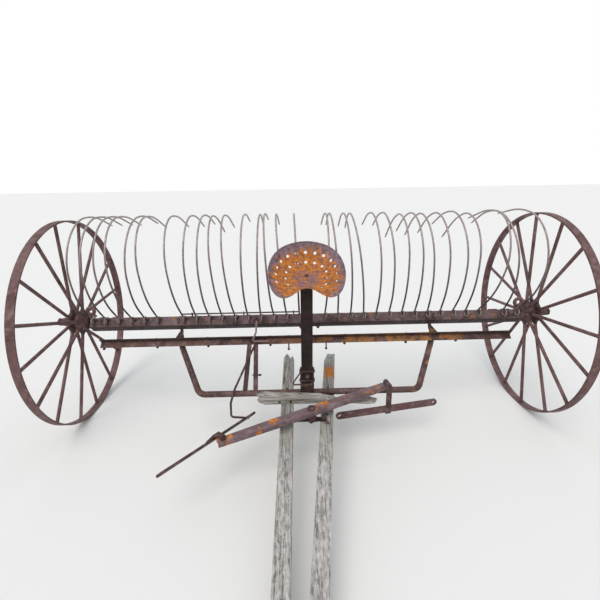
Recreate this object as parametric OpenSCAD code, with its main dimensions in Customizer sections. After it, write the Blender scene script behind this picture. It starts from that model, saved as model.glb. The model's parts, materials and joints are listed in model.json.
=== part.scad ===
// Horse-drawn dump hay rake, parked with its teeth raised and its tongue on the ground.
// X runs from wheel to wheel, the tongue points to -Y, and Z is up from the ground.
// Lengths along Y are measured from the wheel axis, and the whole rake is moved once at the end.

/* [Wheels] */
// Outer radius of a wheel
wheel_r = 700; // [500:10:800]
// Distance from the middle of the rake to the middle of a rim
half_track = 1607; // [1590:1:1700]
// Width of the flat steel tyre
rim_w = 50; // [30:1:80]
// Thickness of the flat steel tyre
rim_t = 10; // [6:1:16]
// Number of spokes in a wheel, half of them from each hub flange
spoke_count = 16; // [8:2:20]
// Diameter of a spoke
spoke_d = 15; // [10:1:20]
// Diameter of the stub axle in the hub
axle_d = 36; // [28:1:40]
// Radius of the hub's barrel
hub_r = 46; // [40:1:50]
// Radius of the hub's spoke flanges
hub_flange_r = 74; // [64:1:90]

/* [Rake head] */
// Half of the length of the rake head
head_half = 1500; // [1490:1:1506]
// Width of each flange of the head's angle iron
head_w = 70; // [64:1:76]
// Thickness of the head's angle iron
head_t = 8; // [6:0.5:9]
// Distance of the angle iron's outer corner in front of the wheel axis
head_fore = 75; // [72:1:80]
// Distance of the angle iron's outer corner below the wheel axis
head_drop = 17; // [14:1:20]

/* [Teeth] */
// Distance from tooth to tooth
tooth_pitch = 89.2; // [86:0.1:89.2]
// Number of tooth places along the head
tooth_places = 34; // [30:2:34]
// Diameter of the tooth steel
tooth_d = 11.5; // [8:0.5:12]
// Mean radius of the coil at a tooth's root
coil_r = 22; // [20:0.5:24]
// Sideways step of one turn of the coil
coil_step = 13.5; // [13:0.5:15]

/* [Frame] */
// Half of the length of the front bar
bar_half = 1400; // [1350:5:1440]
// Width of each flange of the front bar's angle iron
bar_w = 45; // [38:1:50]
// Thickness of the front bar's angle iron
bar_t = 6; // [4:0.5:8]
// Distance of the front bar's rear corner in front of the wheel axis
bar_fore = 140; // [136:1:150]
// Distance of the front bar's rear corner below the wheel axis
bar_drop = 100; // [96:1:104]
// Diameter of the draft bow's pipe
bow_d = 40; // [34:1:42]
// Distance of the bow's cross run in front of the wheel axis
bow_fore = 420; // [400:5:430]
// Half of the distance between the bow's lower corners
bow_half = 700; // [620:5:740]
// Distance of each frame hinge from the middle of the rake
hinge_half = 892.5; // [890:0.5:894]
// Diameter of a hinge pin
hinge_d = 20; // [16:1:22]

/* [Tongue] */
// Width and height of a tongue timber
timber_w = 76; // [60:1:80]
// Height of a timber at the tongue's tip
timber_tip_h = 50; // [40:1:60]
// Slope of the tongue from level
tongue_slope = 8; // [7.5:0.1:8.5]
// Length of the tongue in front of the wheel axis, along its slope
tongue_fore = 2270; // [2200:5:2400]
// Length of the tongue behind the wheel axis, along its slope
tongue_aft = 80; // [40:5:120]

/* [Draft gear] */
// Length of the evener
evener_l = 1118; // [1000:2:1160]
// Width of the evener channel
evener_w = 74; // [60:1:90]
// Height of the evener channel
evener_h = 32; // [26:1:40]
// Thickness of the evener channel
evener_t = 6; // [4:0.5:8]
// Angle at which the evener stands, its right end to the rear
evener_turn = 24.3; // [20:0.1:26]
// Distance of the king bolt in front of the wheel axis, along the tongue
king_fore = 650; // [630:1:680]
// Length of a singletree
tree_l = 684; // [600:2:700]
// Width of a singletree's flat bar
tree_w = 46; // [36:1:50]
// Thickness of a singletree's flat bar
tree_t = 12; // [8:1:14]

/* [Seat] */
// Width of the pan seat
seat_w = 450; // [400:5:480]
// Length of the pan seat along its slope, behind its middle
seat_back = 170; // [150:5:190]
// Length of the pan seat along its slope, in front of its middle
seat_front = 205; // [180:5:220]
// Thickness of the seat's sheet
seat_t = 5; // [4:0.5:7]
// Diameter of a hole in the seat
seat_hole_d = 24; // [16:1:26]
// Height of the seat's middle above the ground
seat_z = 1126; // [1080:2:1160]
// Width of the seat spring
spring_w = 70; // [60:1:80]
// Thickness of the seat spring
spring_t = 9; // [6:0.5:12]

/* [Hidden] */
$fn = 48;

seat_fit = 0.3;
pin_gap = 0.05;
side_gap = 1;

axle_z = wheel_r;
axle_r = axle_d / 2;
hub_bore_r = axle_r + pin_gap;

rust = [0.36, 0.25, 0.24];
dark_rust = [0.27, 0.19, 0.19];
orange_rust = [0.70, 0.36, 0.12];
pale_rust = [0.55, 0.50, 0.48];
old_wood = [0.60, 0.59, 0.55];

// Rigid frame whose axes are the unit vectors ax, ay and az, at the point p
module at_axes(p, ax, ay, az) {
    multmatrix([
        [ax[0], ay[0], az[0], p[0]],
        [ax[1], ay[1], az[1], p[1]],
        [ax[2], ay[2], az[2], p[2]],
        [0, 0, 0, 1]
    ]) children();
}

function unit(v) = v / norm(v);
function side_of(v) = abs(v[2]) < 0.9 ? unit(cross([0, 0, 1], v)) : unit(cross([1, 0, 0], v));

// Round bar between two points
module straight_rod(from, to, r) {
    heading = unit(to - from);
    across = side_of(heading);
    at_axes(from, across, cross(heading, across), heading) cylinder(r = r, h = norm(to - from));
}

// Points of a bend that starts at a place and heading, turns by a radius about a centre, and ends
function bend(points, i, bend_r, step) =
    let (heading = unit(points[i] - points[i - 1]), leaving = unit(points[i + 1] - points[i]))
    let (turn = acos(heading * leaving), inward = unit(leaving - heading * (leaving * heading)))
    let (start = points[i] - heading * bend_r * tan(turn / 2), count = max(1, round(turn / step)))
    [for (k = [0 : count]) let (a = turn * k / count)
        start + heading * bend_r * sin(a) + inward * bend_r * (1 - cos(a))];

// A list of points with its corners bent round
function rounded(points, bend_r, step = 15) = concat(
    [points[0]],
    [for (i = [1 : len(points) - 2]) each bend(points, i, bend_r, step)],
    [points[len(points) - 1]]
);

function heading_at(path, i) =
    i == 0 ? unit(path[1] - path[0])
    : i == len(path) - 1 ? unit(path[i] - path[i - 1])
    : unit(unit(path[i + 1] - path[i]) + unit(path[i] - path[i - 1]));
// Directions across the path, each turned as little as possible from the one before
function across_from(path, i, last) =
    i == len(path) ? []
    : let (h = heading_at(path, i), a = unit(last - h * (last * h)))
      concat([a], across_from(path, i + 1, a));

// Round bar along a path, with a number of flat sides
module tube(path, r, sides) {
    across = across_from(path, 0, side_of(heading_at(path, 0)));
    points = [for (i = [0 : len(path) - 1], k = [0 : sides - 1])
        let (h = heading_at(path, i), a = across[i], b = cross(h, a), t = (k + 0.5) * 360 / sides)
        path[i] + r * (a * cos(t) + b * sin(t))];
    function at(i, k) = i * sides + k % sides;
    polyhedron(points = points, faces = concat(
        [[for (k = [0 : sides - 1]) at(0, k)]],
        [for (i = [0 : len(path) - 2], k = [0 : sides - 1])
            [at(i, k), at(i + 1, k), at(i + 1, k + 1), at(i, k + 1)]],
        [[for (k = [sides - 1 : -1 : 0]) at(len(path) - 1, k)]]
    ));
}

// Path in Y and Z from rows of [length, turn to the right, sideways step], as [x, y, z] points.
// A heading of 0 points to +Y, and one of 90 points up.
function run(rows, at, heading, step, i = 0) =
    i == len(rows) ? [at]
    : let (length = rows[i][0], turn = rows[i][1], aside = rows[i][2])
      let (count = turn == 0 ? 1 : max(1, ceil(abs(turn) / step)))
      let (ends = [for (k = [0 : count]) at + [aside * k / count, 0, 0] + (turn == 0
          ? length * k / count * [0, cos(heading), sin(heading)]
          : length / (turn * PI / 180) * [0,
              sin(heading) - sin(heading - turn * k / count),
              cos(heading - turn * k / count) - cos(heading)])])
      concat([for (k = [0 : count - 1]) ends[k]], run(rows, ends[count], heading - turn, step, i + 1));

// Outline in Y and Z of a strip of one thickness along a path
function strip_side(path, i, off) = let (h = heading_at(path, i)) [path[i][1] - h[2] * off, path[i][2] + h[1] * off];
function strip(path, t) = concat(
    [for (i = [0 : len(path) - 1]) strip_side(path, i, t / 2)],
    [for (i = [len(path) - 1 : -1 : 0]) strip_side(path, i, -t / 2)]
);

// Moves what is drawn about the wheel axis to its height
module at_axle() {
    translate([0, 0, axle_z]) children();
}

// Draws a piece of the right side again on the left, for side -1
module on_side(side) {
    mirror([side < 0 ? 1 : 0, 0, 0]) children();
}

// Extrudes an outline given in Y and Z along X, from x = 0 to x = width
module slab_x(width) {
    rotate([90, 0, 90]) linear_extrude(height = width) children();
}

// Wheels, drawn about the X axis with the rim's middle at x = 0 and +X outwards

rim_in_r = wheel_r - rim_t;

module rim_profile() {
    translate([rim_in_r, -rim_w / 2]) square([rim_t, rim_w]);
}

module rim(side) {
    color(rust) on_side(side) translate([half_track, 0, axle_z]) rotate([0, 90, 0])
        rotate_extrude($fn = 96) rim_profile();
}

hub_in = 87;
hub_out = 118;
flange_x = 28;
flange_t = 14;

// Columns of the hub's outline: distance outwards from the rim's middle, radius
hub_outline = [
    [-hub_in, hub_r],
    [-flange_x - flange_t / 2 - 24, hub_r + 4],
    [-flange_x - flange_t / 2 - 6, hub_flange_r - 6],
    [-flange_x - flange_t / 2, hub_flange_r],
    [-flange_x + flange_t / 2, hub_flange_r],
    [-flange_x + flange_t / 2 + 8, hub_r + 4],
    [flange_x - flange_t / 2 - 8, hub_r + 4],
    [flange_x - flange_t / 2, hub_flange_r - 2],
    [flange_x + flange_t / 2, hub_flange_r - 2],
    [flange_x + flange_t / 2 + 8, hub_r + 2],
    [hub_out - 24, hub_r - 6],
    [hub_out, hub_r - 14]
];

module hub(side) {
    bore_line = [[hub_out, hub_bore_r], [-hub_in, hub_bore_r]];
    color(dark_rust) on_side(side) translate([half_track, 0, axle_z]) rotate([0, 90, 0])
        rotate_extrude() polygon([for (p = concat(hub_outline, bore_line)) [p[1], p[0]]]);
}

spoke_root_r = hub_flange_r - 10;

module spoke(index) {
    flange_side = index % 2 == 0 ? 1 : -1;
    rotate([index * 360 / spoke_count, 0, 0])
        straight_rod([flange_side * flange_x, 0, spoke_root_r],
            [flange_side * rim_w / 8, 0, rim_in_r - seat_fit], spoke_d / 2);
}

module spokes(side) {
    color(rust) on_side(side) translate([half_track, 0, axle_z])
        difference() {
            for (index = [0 : spoke_count - 1]) spoke(index);
            rotate([0, 90, 0]) cylinder(r = hub_flange_r + seat_fit / 3, h = 4 * flange_x, center = true);
        }
}

// Rake head, drawn about the wheel axis

root2 = sqrt(2);
head_corner = [-head_fore, -head_drop];
// Point at a distance along the head's upper flange and a height off its outer face, in Y and Z
function on_head(along, off) = head_corner + [along - off, along + off] / root2;
// The same on the lower flange
function under_head(along, off) = head_corner + [along - off, -along - off] / root2;

module head_section() {
    polygon([
        head_corner,
        on_head(head_w, 0),
        on_head(head_w, -head_t),
        on_head(head_t, -head_t),
        under_head(head_w, -head_t),
        under_head(head_w, 0)
    ]);
}

tooth_r = tooth_d / 2;
tooth_seat = 52;
function tooth_x(place) = (place - (tooth_places + 1) / 2) * tooth_pitch;

// Columns: tooth place, lean to the right in degrees, opening of the coil in degrees
tooth_table = [
    [1, 6.5, -7], [2, 2.9, -2], [3, 4.0, 1], [4, -1.2, 2], [5, 4.7, -1], [6, -1, 2],
    [8, -1.8, -2], [9, 1.5, 1], [10, -0.3, 0], [11, -3.7, 2], [12, -4.9, -1], [13, 0.7, 1],
    [14, 2.8, -2], [15, -2.5, 1], [16, -7, 2], [17, -3.7, 0],
    [19, 2.3, -1], [20, -3.0, 2], [21, -6.2, 0], [22, -11.3, 1], [23, -4.9, -2], [24, -8.7, 1],
    [25, -5.9, 0], [26, -3.9, 2], [27, -8.9, -1], [28, -7.3, 1], [29, -7.5, 0], [30, -4.6, 2],
    [31, 4, 9], [33, -13, -15], [34, -2.8, 2]
];

// Columns: length along the tooth, turn towards the rear in degrees, sideways step
tooth_bends = [[171, 0, 0], [320, 45, 0], [317, 70, 0], [175, 20, 0], [237, 17, 0], [250, 0, 0]];

tail_in = 16;
coil_off = coil_r + tooth_r + 2.5;
set_bend_l = 40;
tooth_sides = 6;
tooth_step = 15;
coil_bend_step = 40;
tooth_root = on_head(tooth_seat, coil_off);

// A tooth's path: through the head, once round the coil, and then up and over
function tooth_path(opening) = let (tail = coil_off + head_t + tail_in)
    let (start = [coil_step / 2, tooth_root[0] + tail / root2, tooth_root[1] - tail / root2])
    let (coil = run([[tail, 0, 0], [2 * PI * coil_r, -360, -coil_step]], start, 135, coil_bend_step))
    let (last = coil[len(coil) - 1])
    concat([for (k = [0 : len(coil) - 2]) coil[k]],
        run(concat([[set_bend_l, -opening, 0]], tooth_bends), last, 135, tooth_step));

function leaned(path, lean) = [for (p = path)
    let (h = max(0, p[2] - tooth_root[1]), share = min(1, h / 60))
    [p[0] + h * tan(lean) * share, p[1], p[2]]];

module teeth(side) {
    color(pale_rust) at_axle() for (row = tooth_table) if (sign(tooth_x(row[0])) == side)
        translate([tooth_x(row[0]), 0, 0]) tube(leaned(tooth_path(row[2]), row[1]), tooth_r, tooth_sides);
}

module rake_head() {
    hole = on_head(tooth_seat, 1);
    color(rust) at_axle() difference() {
        translate([-head_half, 0, 0]) slab_x(2 * head_half) head_section();
        for (row = tooth_table)
            translate([tooth_x(row[0]) + coil_step / 2, hole[0], hole[1]]) rotate([45, 0, 0])
                translate([0, 0, -head_t - 2]) cylinder(r = tooth_r + seat_fit, h = head_t + 4);
    }
}

// Outline of a plate that fills the angle iron round the wheel axis
module lug_outline(eye_r) {
    polygon([
        on_head(head_t, -head_t),
        on_head(head_w - 4, -head_t),
        [eye_r * 0.3, eye_r],
        [eye_r, eye_r * 0.4],
        [eye_r, -eye_r * 0.4],
        [eye_r * 0.3, -eye_r],
        under_head(head_w - 4, -head_t)
    ]);
}

bracket_l = 60;
bracket_eye_r = axle_r + 8;
function bracket_x(index) = tooth_x(tooth_places - 1 - index) + (tooth_pitch - bracket_l) / 2;

module axle_brackets() {
    color(dark_rust) at_axle() for (side = [-1, 1], index = [0, 1])
        on_side(side) translate([bracket_x(index), 0, 0]) difference() {
            slab_x(bracket_l) lug_outline(bracket_eye_r);
            rotate([0, 90, 0]) translate([0, 0, -1]) cylinder(r = axle_r + pin_gap, h = bracket_l + 2);
        }
}

axle_in = 20;
axle_nut_t = 14;
axle_end = half_track + hub_out + side_gap;

module axle(side) {
    start = bracket_x(1) - axle_in;
    color(dark_rust) on_side(side) translate([start, 0, axle_z]) rotate([0, 90, 0]) {
        cylinder(r = axle_r, h = axle_end - start);
        translate([0, 0, axle_end - start]) cylinder(r = hub_r - 18, h = axle_nut_t, $fn = 6);
    }
}

hanger_t = 12;
lug_t = 8;
hinge_r = hinge_d / 2;
hinge_eye_r = hinge_r + 14;
lug_eye_r = hinge_r + 9;

module hinge_lugs() {
    color(dark_rust) at_axle() for (side = [-1, 1], end = [-1, 1])
        on_side(side) translate([hinge_half + end * (hanger_t / 2 + side_gap + lug_t / 2) - lug_t / 2, 0, 0])
            difference() {
                slab_x(lug_t) lug_outline(lug_eye_r);
                rotate([0, 90, 0]) translate([0, 0, -1]) cylinder(r = hinge_r + pin_gap, h = lug_t + 2);
            }
}

module hinge_pins() {
    pin_l = hanger_t + 2 * side_gap + 2 * lug_t + 8;
    color(dark_rust) at_axle() for (side = [-1, 1])
        on_side(side) translate([hinge_half - pin_l / 2, 0, 0]) rotate([0, 90, 0]) cylinder(r = hinge_r, h = pin_l);
}

pawl_r = 26;
pawl_hole_r = 11;
pawl_t = 14;

module pawl(side) {
    foot = on_head(head_w, 0);
    foot_in = on_head(head_w, -head_t);
    ring = [foot[0] + 14, foot[1] + pawl_r + 8];
    color(dark_rust) at_axle() on_side(side) translate([head_half - pawl_t, 0, 0]) difference() {
        union() {
            translate([0, ring[0], ring[1]]) rotate([0, 90, 0]) cylinder(r = pawl_r, h = pawl_t);
            slab_x(pawl_t) polygon([foot, foot_in, foot_in + [26, 18], ring + [18, 0], ring - [18, 0]]);
        }
        translate([-1, ring[0], ring[1]]) rotate([0, 90, 0]) cylinder(r = pawl_hole_r, h = pawl_t + 2);
    }
}

dump_rod_r = 5;
dump_rod_ends = [-880, -50];
dump_rod_eyes = [-800, -440, -90];
dump_rod_seat = 14;

module dump_rod() {
    foot = on_head(head_w, 0);
    foot_in = on_head(head_w, -head_t);
    line = [(foot[0] + foot_in[0]) / 2, foot[1] + dump_rod_seat];
    color(dark_rust) at_axle() {
        translate([dump_rod_ends[0], line[0], line[1]]) rotate([0, 90, 0])
            cylinder(r = dump_rod_r, h = dump_rod_ends[1] - dump_rod_ends[0]);
        for (x = dump_rod_eyes) translate([x - 4, 0, 0])
            slab_x(8) polygon([foot, foot_in, line + [8, 4], line + [4, 9], line + [-4, 9], line + [-8, 4]]);
    }
}

boss_x = -357;
boss_r = 22;
boss_t = 12;

module trip_boss() {
    seat = on_head(head_w / 2, 0);
    color(dark_rust) at_axle() translate([boss_x, seat[0], seat[1]]) rotate([45, 0, 0]) {
        cylinder(r = boss_r, h = boss_t);
        translate([0, 0, boss_t]) cylinder(r = boss_r / 2, h = 6, $fn = 6);
    }
}

// Frame in front of the head

bar_corner = [-bar_fore, -bar_drop];
function on_bar(along, off) = bar_corner + [-along + off, along + off] / root2;
function under_bar(along, off) = bar_corner + [-along + off, -along - off] / root2;

module front_bar() {
    color(orange_rust) at_axle() translate([-bar_half, 0, 0]) slab_x(2 * bar_half)
        polygon([
            bar_corner,
            on_bar(bar_w, 0),
            on_bar(bar_w, -bar_t),
            on_bar(bar_t, -bar_t),
            under_bar(bar_w, -bar_t),
            under_bar(bar_w, 0)
        ]);
}

head_swing_r = norm(under_head(head_w, 0)) + 10;
hanger_drop = 22;
hanger_fore = 8;
hanger_aft = 28;
hanger_seat = 17;

module hanger(side) {
    shelf_z = -bar_drop - hanger_drop;
    color(dark_rust) at_axle() on_side(side) translate([hinge_half - hanger_t / 2, 0, 0]) difference() {
        union() {
            rotate([0, 90, 0]) cylinder(r = hinge_eye_r, h = hanger_t);
            slab_x(hanger_t) polygon([
                [hanger_aft, 0],
                [hanger_aft, shelf_z + 18],
                [hanger_aft - 18, shelf_z],
                [-bar_fore + 10, shelf_z],
                under_bar(hanger_seat, 0),
                bar_corner,
                on_bar(hanger_seat, 0),
                [-bar_fore + 14, -head_swing_r],
                [-hanger_fore, -head_swing_r],
                [-hanger_fore, 0]
            ]);
        }
        rotate([0, 90, 0]) translate([0, 0, -1]) cylinder(r = hinge_r + pin_gap, h = hanger_t + 2);
    }
}

// Tongue, drawn on its own sloping plane

// Height of the tongue's middle plane at the wheel axis, with its tip resting on the ground
tongue_rise = tongue_fore * sin(tongue_slope) + timber_tip_h / 2 * cos(tongue_slope);

module on_tongue() {
    translate([0, 0, tongue_rise]) rotate([tongue_slope, 0, 0]) children();
}
// Height of the tongue's middle plane at a distance in front of the wheel axis
function tongue_z(fore) = tongue_rise - fore * tan(tongue_slope);

bow_r = bow_d / 2;
bow_sides = 12;
bow_flat_r = bow_r * cos(180 / bow_sides);
bow_z = tongue_z(bow_fore) + (timber_w / 2 + bow_r + seat_fit / 2) / cos(tongue_slope);
bow_top_x = hinge_half - hanger_t / 2 - bow_flat_r - seat_fit;
bow_top_y = -bar_fore + bow_r + seat_fit;
bow_top_z = axle_z - 48;
bow_knee_z = axle_z - 156;
bow_bend_r = 62;

module draft_bow() {
    color(rust) tube(rounded([
        [-bow_top_x, bow_top_y, bow_top_z],
        [-bow_top_x, bow_top_y, bow_knee_z],
        [-bow_half, -bow_fore, bow_z],
        [bow_half, -bow_fore, bow_z],
        [bow_top_x, bow_top_y, bow_knee_z],
        [bow_top_x, bow_top_y, bow_top_z]
    ], bow_bend_r), bow_r, bow_sides);
}

// Columns of a timber: x at its rear end, x at the tongue's tip
timber_left = [-130, -178];
timber_right = [176, -92];
function timber_x(ends, fore) =
    ends[0] + (ends[1] - ends[0]) * (fore + tongue_aft) / (tongue_fore + tongue_aft);

timber_taper_l = 500;
timber_tip_l = 14;

// A timber's end is worn round at the rear, and cut square to the tongue at its tip
module timber(ends) {
    yaw = atan((ends[0] - ends[1]) / (tongue_fore + tongue_aft));
    length = (tongue_fore + tongue_aft) / cos(yaw) + timber_tip_l / 2;
    color(old_wood) on_tongue() difference() {
        translate([ends[0], tongue_aft, 0]) rotate([0, 0, -yaw])
            translate([-timber_w / 2, 0, 0]) slab_x(timber_w) polygon([
                [-16, -timber_w / 2],
                [0, -timber_w / 2 + 14],
                [0, timber_w / 2 - 10],
                [-30, timber_w / 2],
                [-length + timber_taper_l, timber_w / 2],
                [-length + timber_tip_l, timber_tip_h / 2],
                [-length, timber_tip_h / 2],
                [-length, -timber_tip_h / 2],
                [-length + timber_tip_l, -timber_tip_h / 2],
                [-length + timber_taper_l, -timber_w / 2]
            ]);
        translate([ends[1] - timber_w, -tongue_fore - timber_w, -timber_w])
            cube([2 * timber_w, timber_w, 2 * timber_w]);
    }
}

// Iron at the tongue's tip, on top of both timbers, with the eye for a hitch pin
iron_t = 12;
iron_l = 260;
iron_over = 70;
hitch_hole_r = 11;
iron_end_r = hitch_hole_r + 18;
iron_x = (timber_left[1] + timber_right[1]) / 2;
iron_w = timber_right[1] - timber_left[1] + timber_w * 0.8;
iron_z = timber_tip_h / 2 + seat_fit / 3;
iron_drop = atan((timber_w - timber_tip_h) / 2 / timber_taper_l);

module tongue_iron() {
    color(dark_rust) on_tongue() translate([iron_x, -tongue_fore, iron_z]) rotate([iron_drop, 0, 0])
        difference() {
            union() {
                linear_extrude(height = iron_t) polygon([
                    [-iron_w / 2, iron_l],
                    [-iron_w / 2, 20],
                    [-iron_end_r, -iron_over],
                    [iron_end_r, -iron_over],
                    [iron_w / 2, 20],
                    [iron_w / 2, iron_l]
                ]);
                translate([0, -iron_over, 0]) cylinder(r = iron_end_r, h = iron_t);
            }
            translate([0, -iron_over, -1]) cylinder(r = hitch_hole_r, h = iron_t + 2);
        }
}

board_l_x = -340;
board_r_x = 455;
board_d = 50;
board_gap = 12;
board_back = bow_fore / cos(tongue_slope) + bow_r + board_gap;

module cross_board() {
    top = timber_w / 2;
    color(old_wood) on_tongue() translate([0, -board_back, 0]) rotate([90, 0, 0])
        linear_extrude(height = board_d) polygon([
            [board_l_x, top + 22],
            [board_l_x + 60, top],
            [timber_right[0] + timber_w / 4, top],
            [board_r_x - 60, top - 18],
            [board_r_x, top - 12],
            [board_r_x - 20, top + 1],
            [180, top + 4],
            [60, top + 44],
            [-180, top + 54],
            [board_l_x + 6, top + 72]
        ]);
}

// Seat and what carries it

seat_x = -15;
standard_w = 86;
standard_t = 10;
standard_y = -bow_fore - bow_r - standard_t - seat_fit / 2;
standard_z = [tongue_z(bow_fore) + timber_w / 2 - 10, 530];
spring_foot_z = 418;
spring_foot_y = standard_y - spring_t;

module seat_standard() {
    color(dark_rust) translate([seat_x - standard_w / 2, standard_y, standard_z[0]])
        cube([standard_w, standard_t, standard_z[1] - standard_z[0]]);
}

seat_y = -500;
seat_tilt = 25;
seat_up = [0, -sin(seat_tilt), cos(seat_tilt)];
spring_lean = 7;
spring_bend_r = 30;

// Path of the spring, with a straight stretch of a length; it ends lying flat under the seat.
// Columns: length along the spring, turn towards the rear in degrees, sideways step
function spring_path(straight) = run([
    [112, 0, 0],
    [120, -spring_lean, 0],
    [straight, 0, 0],
    [150, spring_lean, 0],
    [spring_bend_r * (90 - seat_tilt) * PI / 180, 90 - seat_tilt, 0],
    [46, 0, 0]
], [0, spring_foot_y + spring_t / 2, spring_foot_z], 90, 6);

module seat_spring() {
    short = spring_path(0);
    end = short[len(short) - 1];
    seat_under = [0, seat_y, seat_z] - seat_up * (seat_t + spring_t / 2);
    slant = [0, -sin(spring_lean), cos(spring_lean)];
    path = spring_path((seat_under - end) * seat_up / (slant * seat_up));
    color(dark_rust) translate([seat_x - spring_w / 2, 0, 0]) slab_x(spring_w) polygon(strip(path, spring_t));
}

clamp_h = 12;
clamp_t = 5;

module seat_clamps() {
    color(rust) for (z = [438, 500])
        translate([seat_x, standard_y - spring_t / 2 + standard_t / 2, z]) linear_extrude(height = clamp_h)
            difference() {
                square([standard_w + 2 * clamp_t + seat_fit, standard_t + spring_t + 2 * clamp_t + seat_fit],
                    center = true);
                square([standard_w + seat_fit, standard_t + spring_t + seat_fit], center = true);
            }
}

seat_rings = 7;
seat_steps = 36;
seat_notch = 0.17;

function seat_edge_v(a) = sin(a) < 0
    ? seat_back * sin(a)
    : seat_front * sin(a) * (1 - seat_notch * exp(-pow(seat_w / 2 * cos(a) / 48, 2)));
function seat_rim_h(a) = 58 - 46 * sin(a) + 8 * cos(2 * a);
// Point of the seat at a share t of the way from its middle to its edge, on or under its sheet
function seat_point(t, a, under) = [
    seat_w / 2 * cos(a) * t,
    -seat_edge_v(a) * t,
    seat_rim_h(a) * pow(t, 2.4) - under
];

module seat_pan() {
    top = [for (k = [1 : seat_rings], j = [0 : seat_steps - 1]) seat_point(k / seat_rings, j * 360 / seat_steps, 0)];
    bottom = [for (k = [1 : seat_rings], j = [0 : seat_steps - 1])
        seat_point(k / seat_rings, j * 360 / seat_steps, seat_t)];
    count = seat_rings * seat_steps;
    points = concat(top, bottom, [[0, 0, 0], [0, 0, -seat_t]]);
    function at(k, j, base) = base + (k - 1) * seat_steps + (j % seat_steps);
    faces = concat(
        [for (j = [0 : seat_steps - 1]) [2 * count, at(1, j, 0), at(1, j + 1, 0)]],
        [for (j = [0 : seat_steps - 1]) [2 * count + 1, at(1, j + 1, count), at(1, j, count)]],
        [for (k = [1 : seat_rings - 1], j = [0 : seat_steps - 1])
            [at(k, j, 0), at(k + 1, j, 0), at(k + 1, j + 1, 0), at(k, j + 1, 0)]],
        [for (k = [1 : seat_rings - 1], j = [0 : seat_steps - 1])
            [at(k, j + 1, count), at(k + 1, j + 1, count), at(k + 1, j, count), at(k, j, count)]],
        [for (j = [0 : seat_steps - 1])
            [at(seat_rings, j, 0), at(seat_rings, j, count),
             at(seat_rings, j + 1, count), at(seat_rings, j + 1, 0)]]
    );
    polyhedron(points = points, faces = faces);
}

// Columns: share of the way to the edge, number of holes, first angle, last angle
seat_hole_rows = [[0.80, 15, -90 - 148, -90 + 148], [0.52, 13, -90 - 150, -90 + 150]];

module seat() {
    color(orange_rust) translate([seat_x, seat_y, seat_z]) rotate([seat_tilt, 0, 0]) difference() {
        seat_pan();
        for (row = seat_hole_rows, i = [0 : row[1] - 1]) {
            place = seat_point(row[0], row[2] + (row[3] - row[2]) * i / (row[1] - 1), 0);
            translate([place[0], place[1], place[2] - 40]) cylinder(r = seat_hole_d / 2, h = 80, $fn = 12);
        }
    }
}

foot_rod_r = 5;
rod_sides = 8;
rod_flat = cos(180 / rod_sides);

module foot_rest() {
    rod_y = spring_foot_y - foot_rod_r * rod_flat - clamp_t - seat_fit;
    color(dark_rust) tube(rounded([
        [seat_x - 20, rod_y, 508],
        [seat_x - 44, rod_y, 502],
        [seat_x - 96, rod_y - 30, 440],
        [seat_x + 28, rod_y - 30, 438],
        [seat_x + 28, rod_y, 438]
    ], 10, 30), foot_rod_r, rod_sides);
}

// Trip lever beside the seat, fixed as it stands

post_t = 8;
post_w = 30;
post_rise = root2 * (bar_t + post_t / 2);
// Point at a height off the posts' middle plane, at a place y, about the wheel axis
function on_post(x, y, off) = [x, y, y + bar_fore - bar_drop + post_rise + off * root2];
post_top_y = -bar_fore - 22;
// The posts' middle plane meets the bow where its centre is nearest
post_foot_y = (-bow_fore + bow_z - axle_z - bar_fore + bar_drop - post_rise) / 2 + (bow_r - seat_fit) / root2;

// Flat post from the bow up to the front bar's lower flange
module lever_post(foot_x, top_x) {
    foot = on_post(foot_x, post_foot_y, 0);
    top = on_post(top_x, post_top_y, 0);
    heading = unit(top - foot);
    facing = [0, -1, 1] / root2;
    lift = post_w / 2 * abs(heading[0]);
    color(dark_rust) at_axle() at_axes(foot, cross(facing, heading), facing, heading)
        translate([-post_w / 2, -post_t / 2, lift]) cube([post_w, post_t, norm(top - foot) - lift]);
}

lever_rod_r = 7;
link_rod_r = 6;
lever_off = post_t / 2 + lever_rod_r - seat_fit / 3;

module foot_lever() {
    front = -bow_fore - bow_r - lever_rod_r - seat_fit / 2;
    color(dark_rust) at_axle() tube(rounded([
        on_post(-354, post_top_y, lever_off),
        on_post(-358, post_top_y - 34, lever_off),
        [-470, front, bow_z - axle_z + 50],
        [-502, front, bow_z - axle_z - 50],
        [-508, front + 12, -520],
        [-392, front + 8, -528]
    ], 20, 30), lever_rod_r, rod_sides);
}

module latch_link() {
    grip_off = lever_off + (lever_rod_r + link_rod_r) * rod_flat + seat_fit;
    color(rust) at_axle() tube(rounded([
        [-346, -head_fore - 26, 12],
        [-346, -bar_fore - 38, -40],
        on_post(-374, post_top_y - 26, grip_off),
        on_post(-268, post_top_y - 26, grip_off)
    ], 12, 30), link_rod_r, rod_sides);
}

// Draft gear

king_r = 12;
wear_t = 8;
wear_w = 64;
boss_h = 40;
king_boss_r = 30;
evener_z = timber_w / 2 + wear_t + boss_h + side_gap;

module at_king() {
    on_tongue() translate([0, -king_fore, 0]) children();
}

module king_bolt() {
    plate_from = timber_x(timber_left, king_fore) - timber_w / 2 + 4;
    plate_to = timber_x(timber_right, king_fore) + timber_w / 2 - 4;
    color(dark_rust) at_king() {
        translate([plate_from, -wear_w / 2, timber_w / 2]) cube([plate_to - plate_from, wear_w, wear_t]);
        translate([0, 0, timber_w / 2]) cylinder(r = king_boss_r, h = wear_t + boss_h);
        translate([0, 0, timber_w / 2 - 18]) cylinder(r = king_r, h = evener_z + evener_h + 20 - timber_w / 2);
        translate([0, 0, evener_z + evener_h + side_gap]) cylinder(r = 22, h = 14, $fn = 6);
    }
}

evener_hole_in = 30;
arm_l = evener_l / 2 - evener_hole_in;

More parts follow.
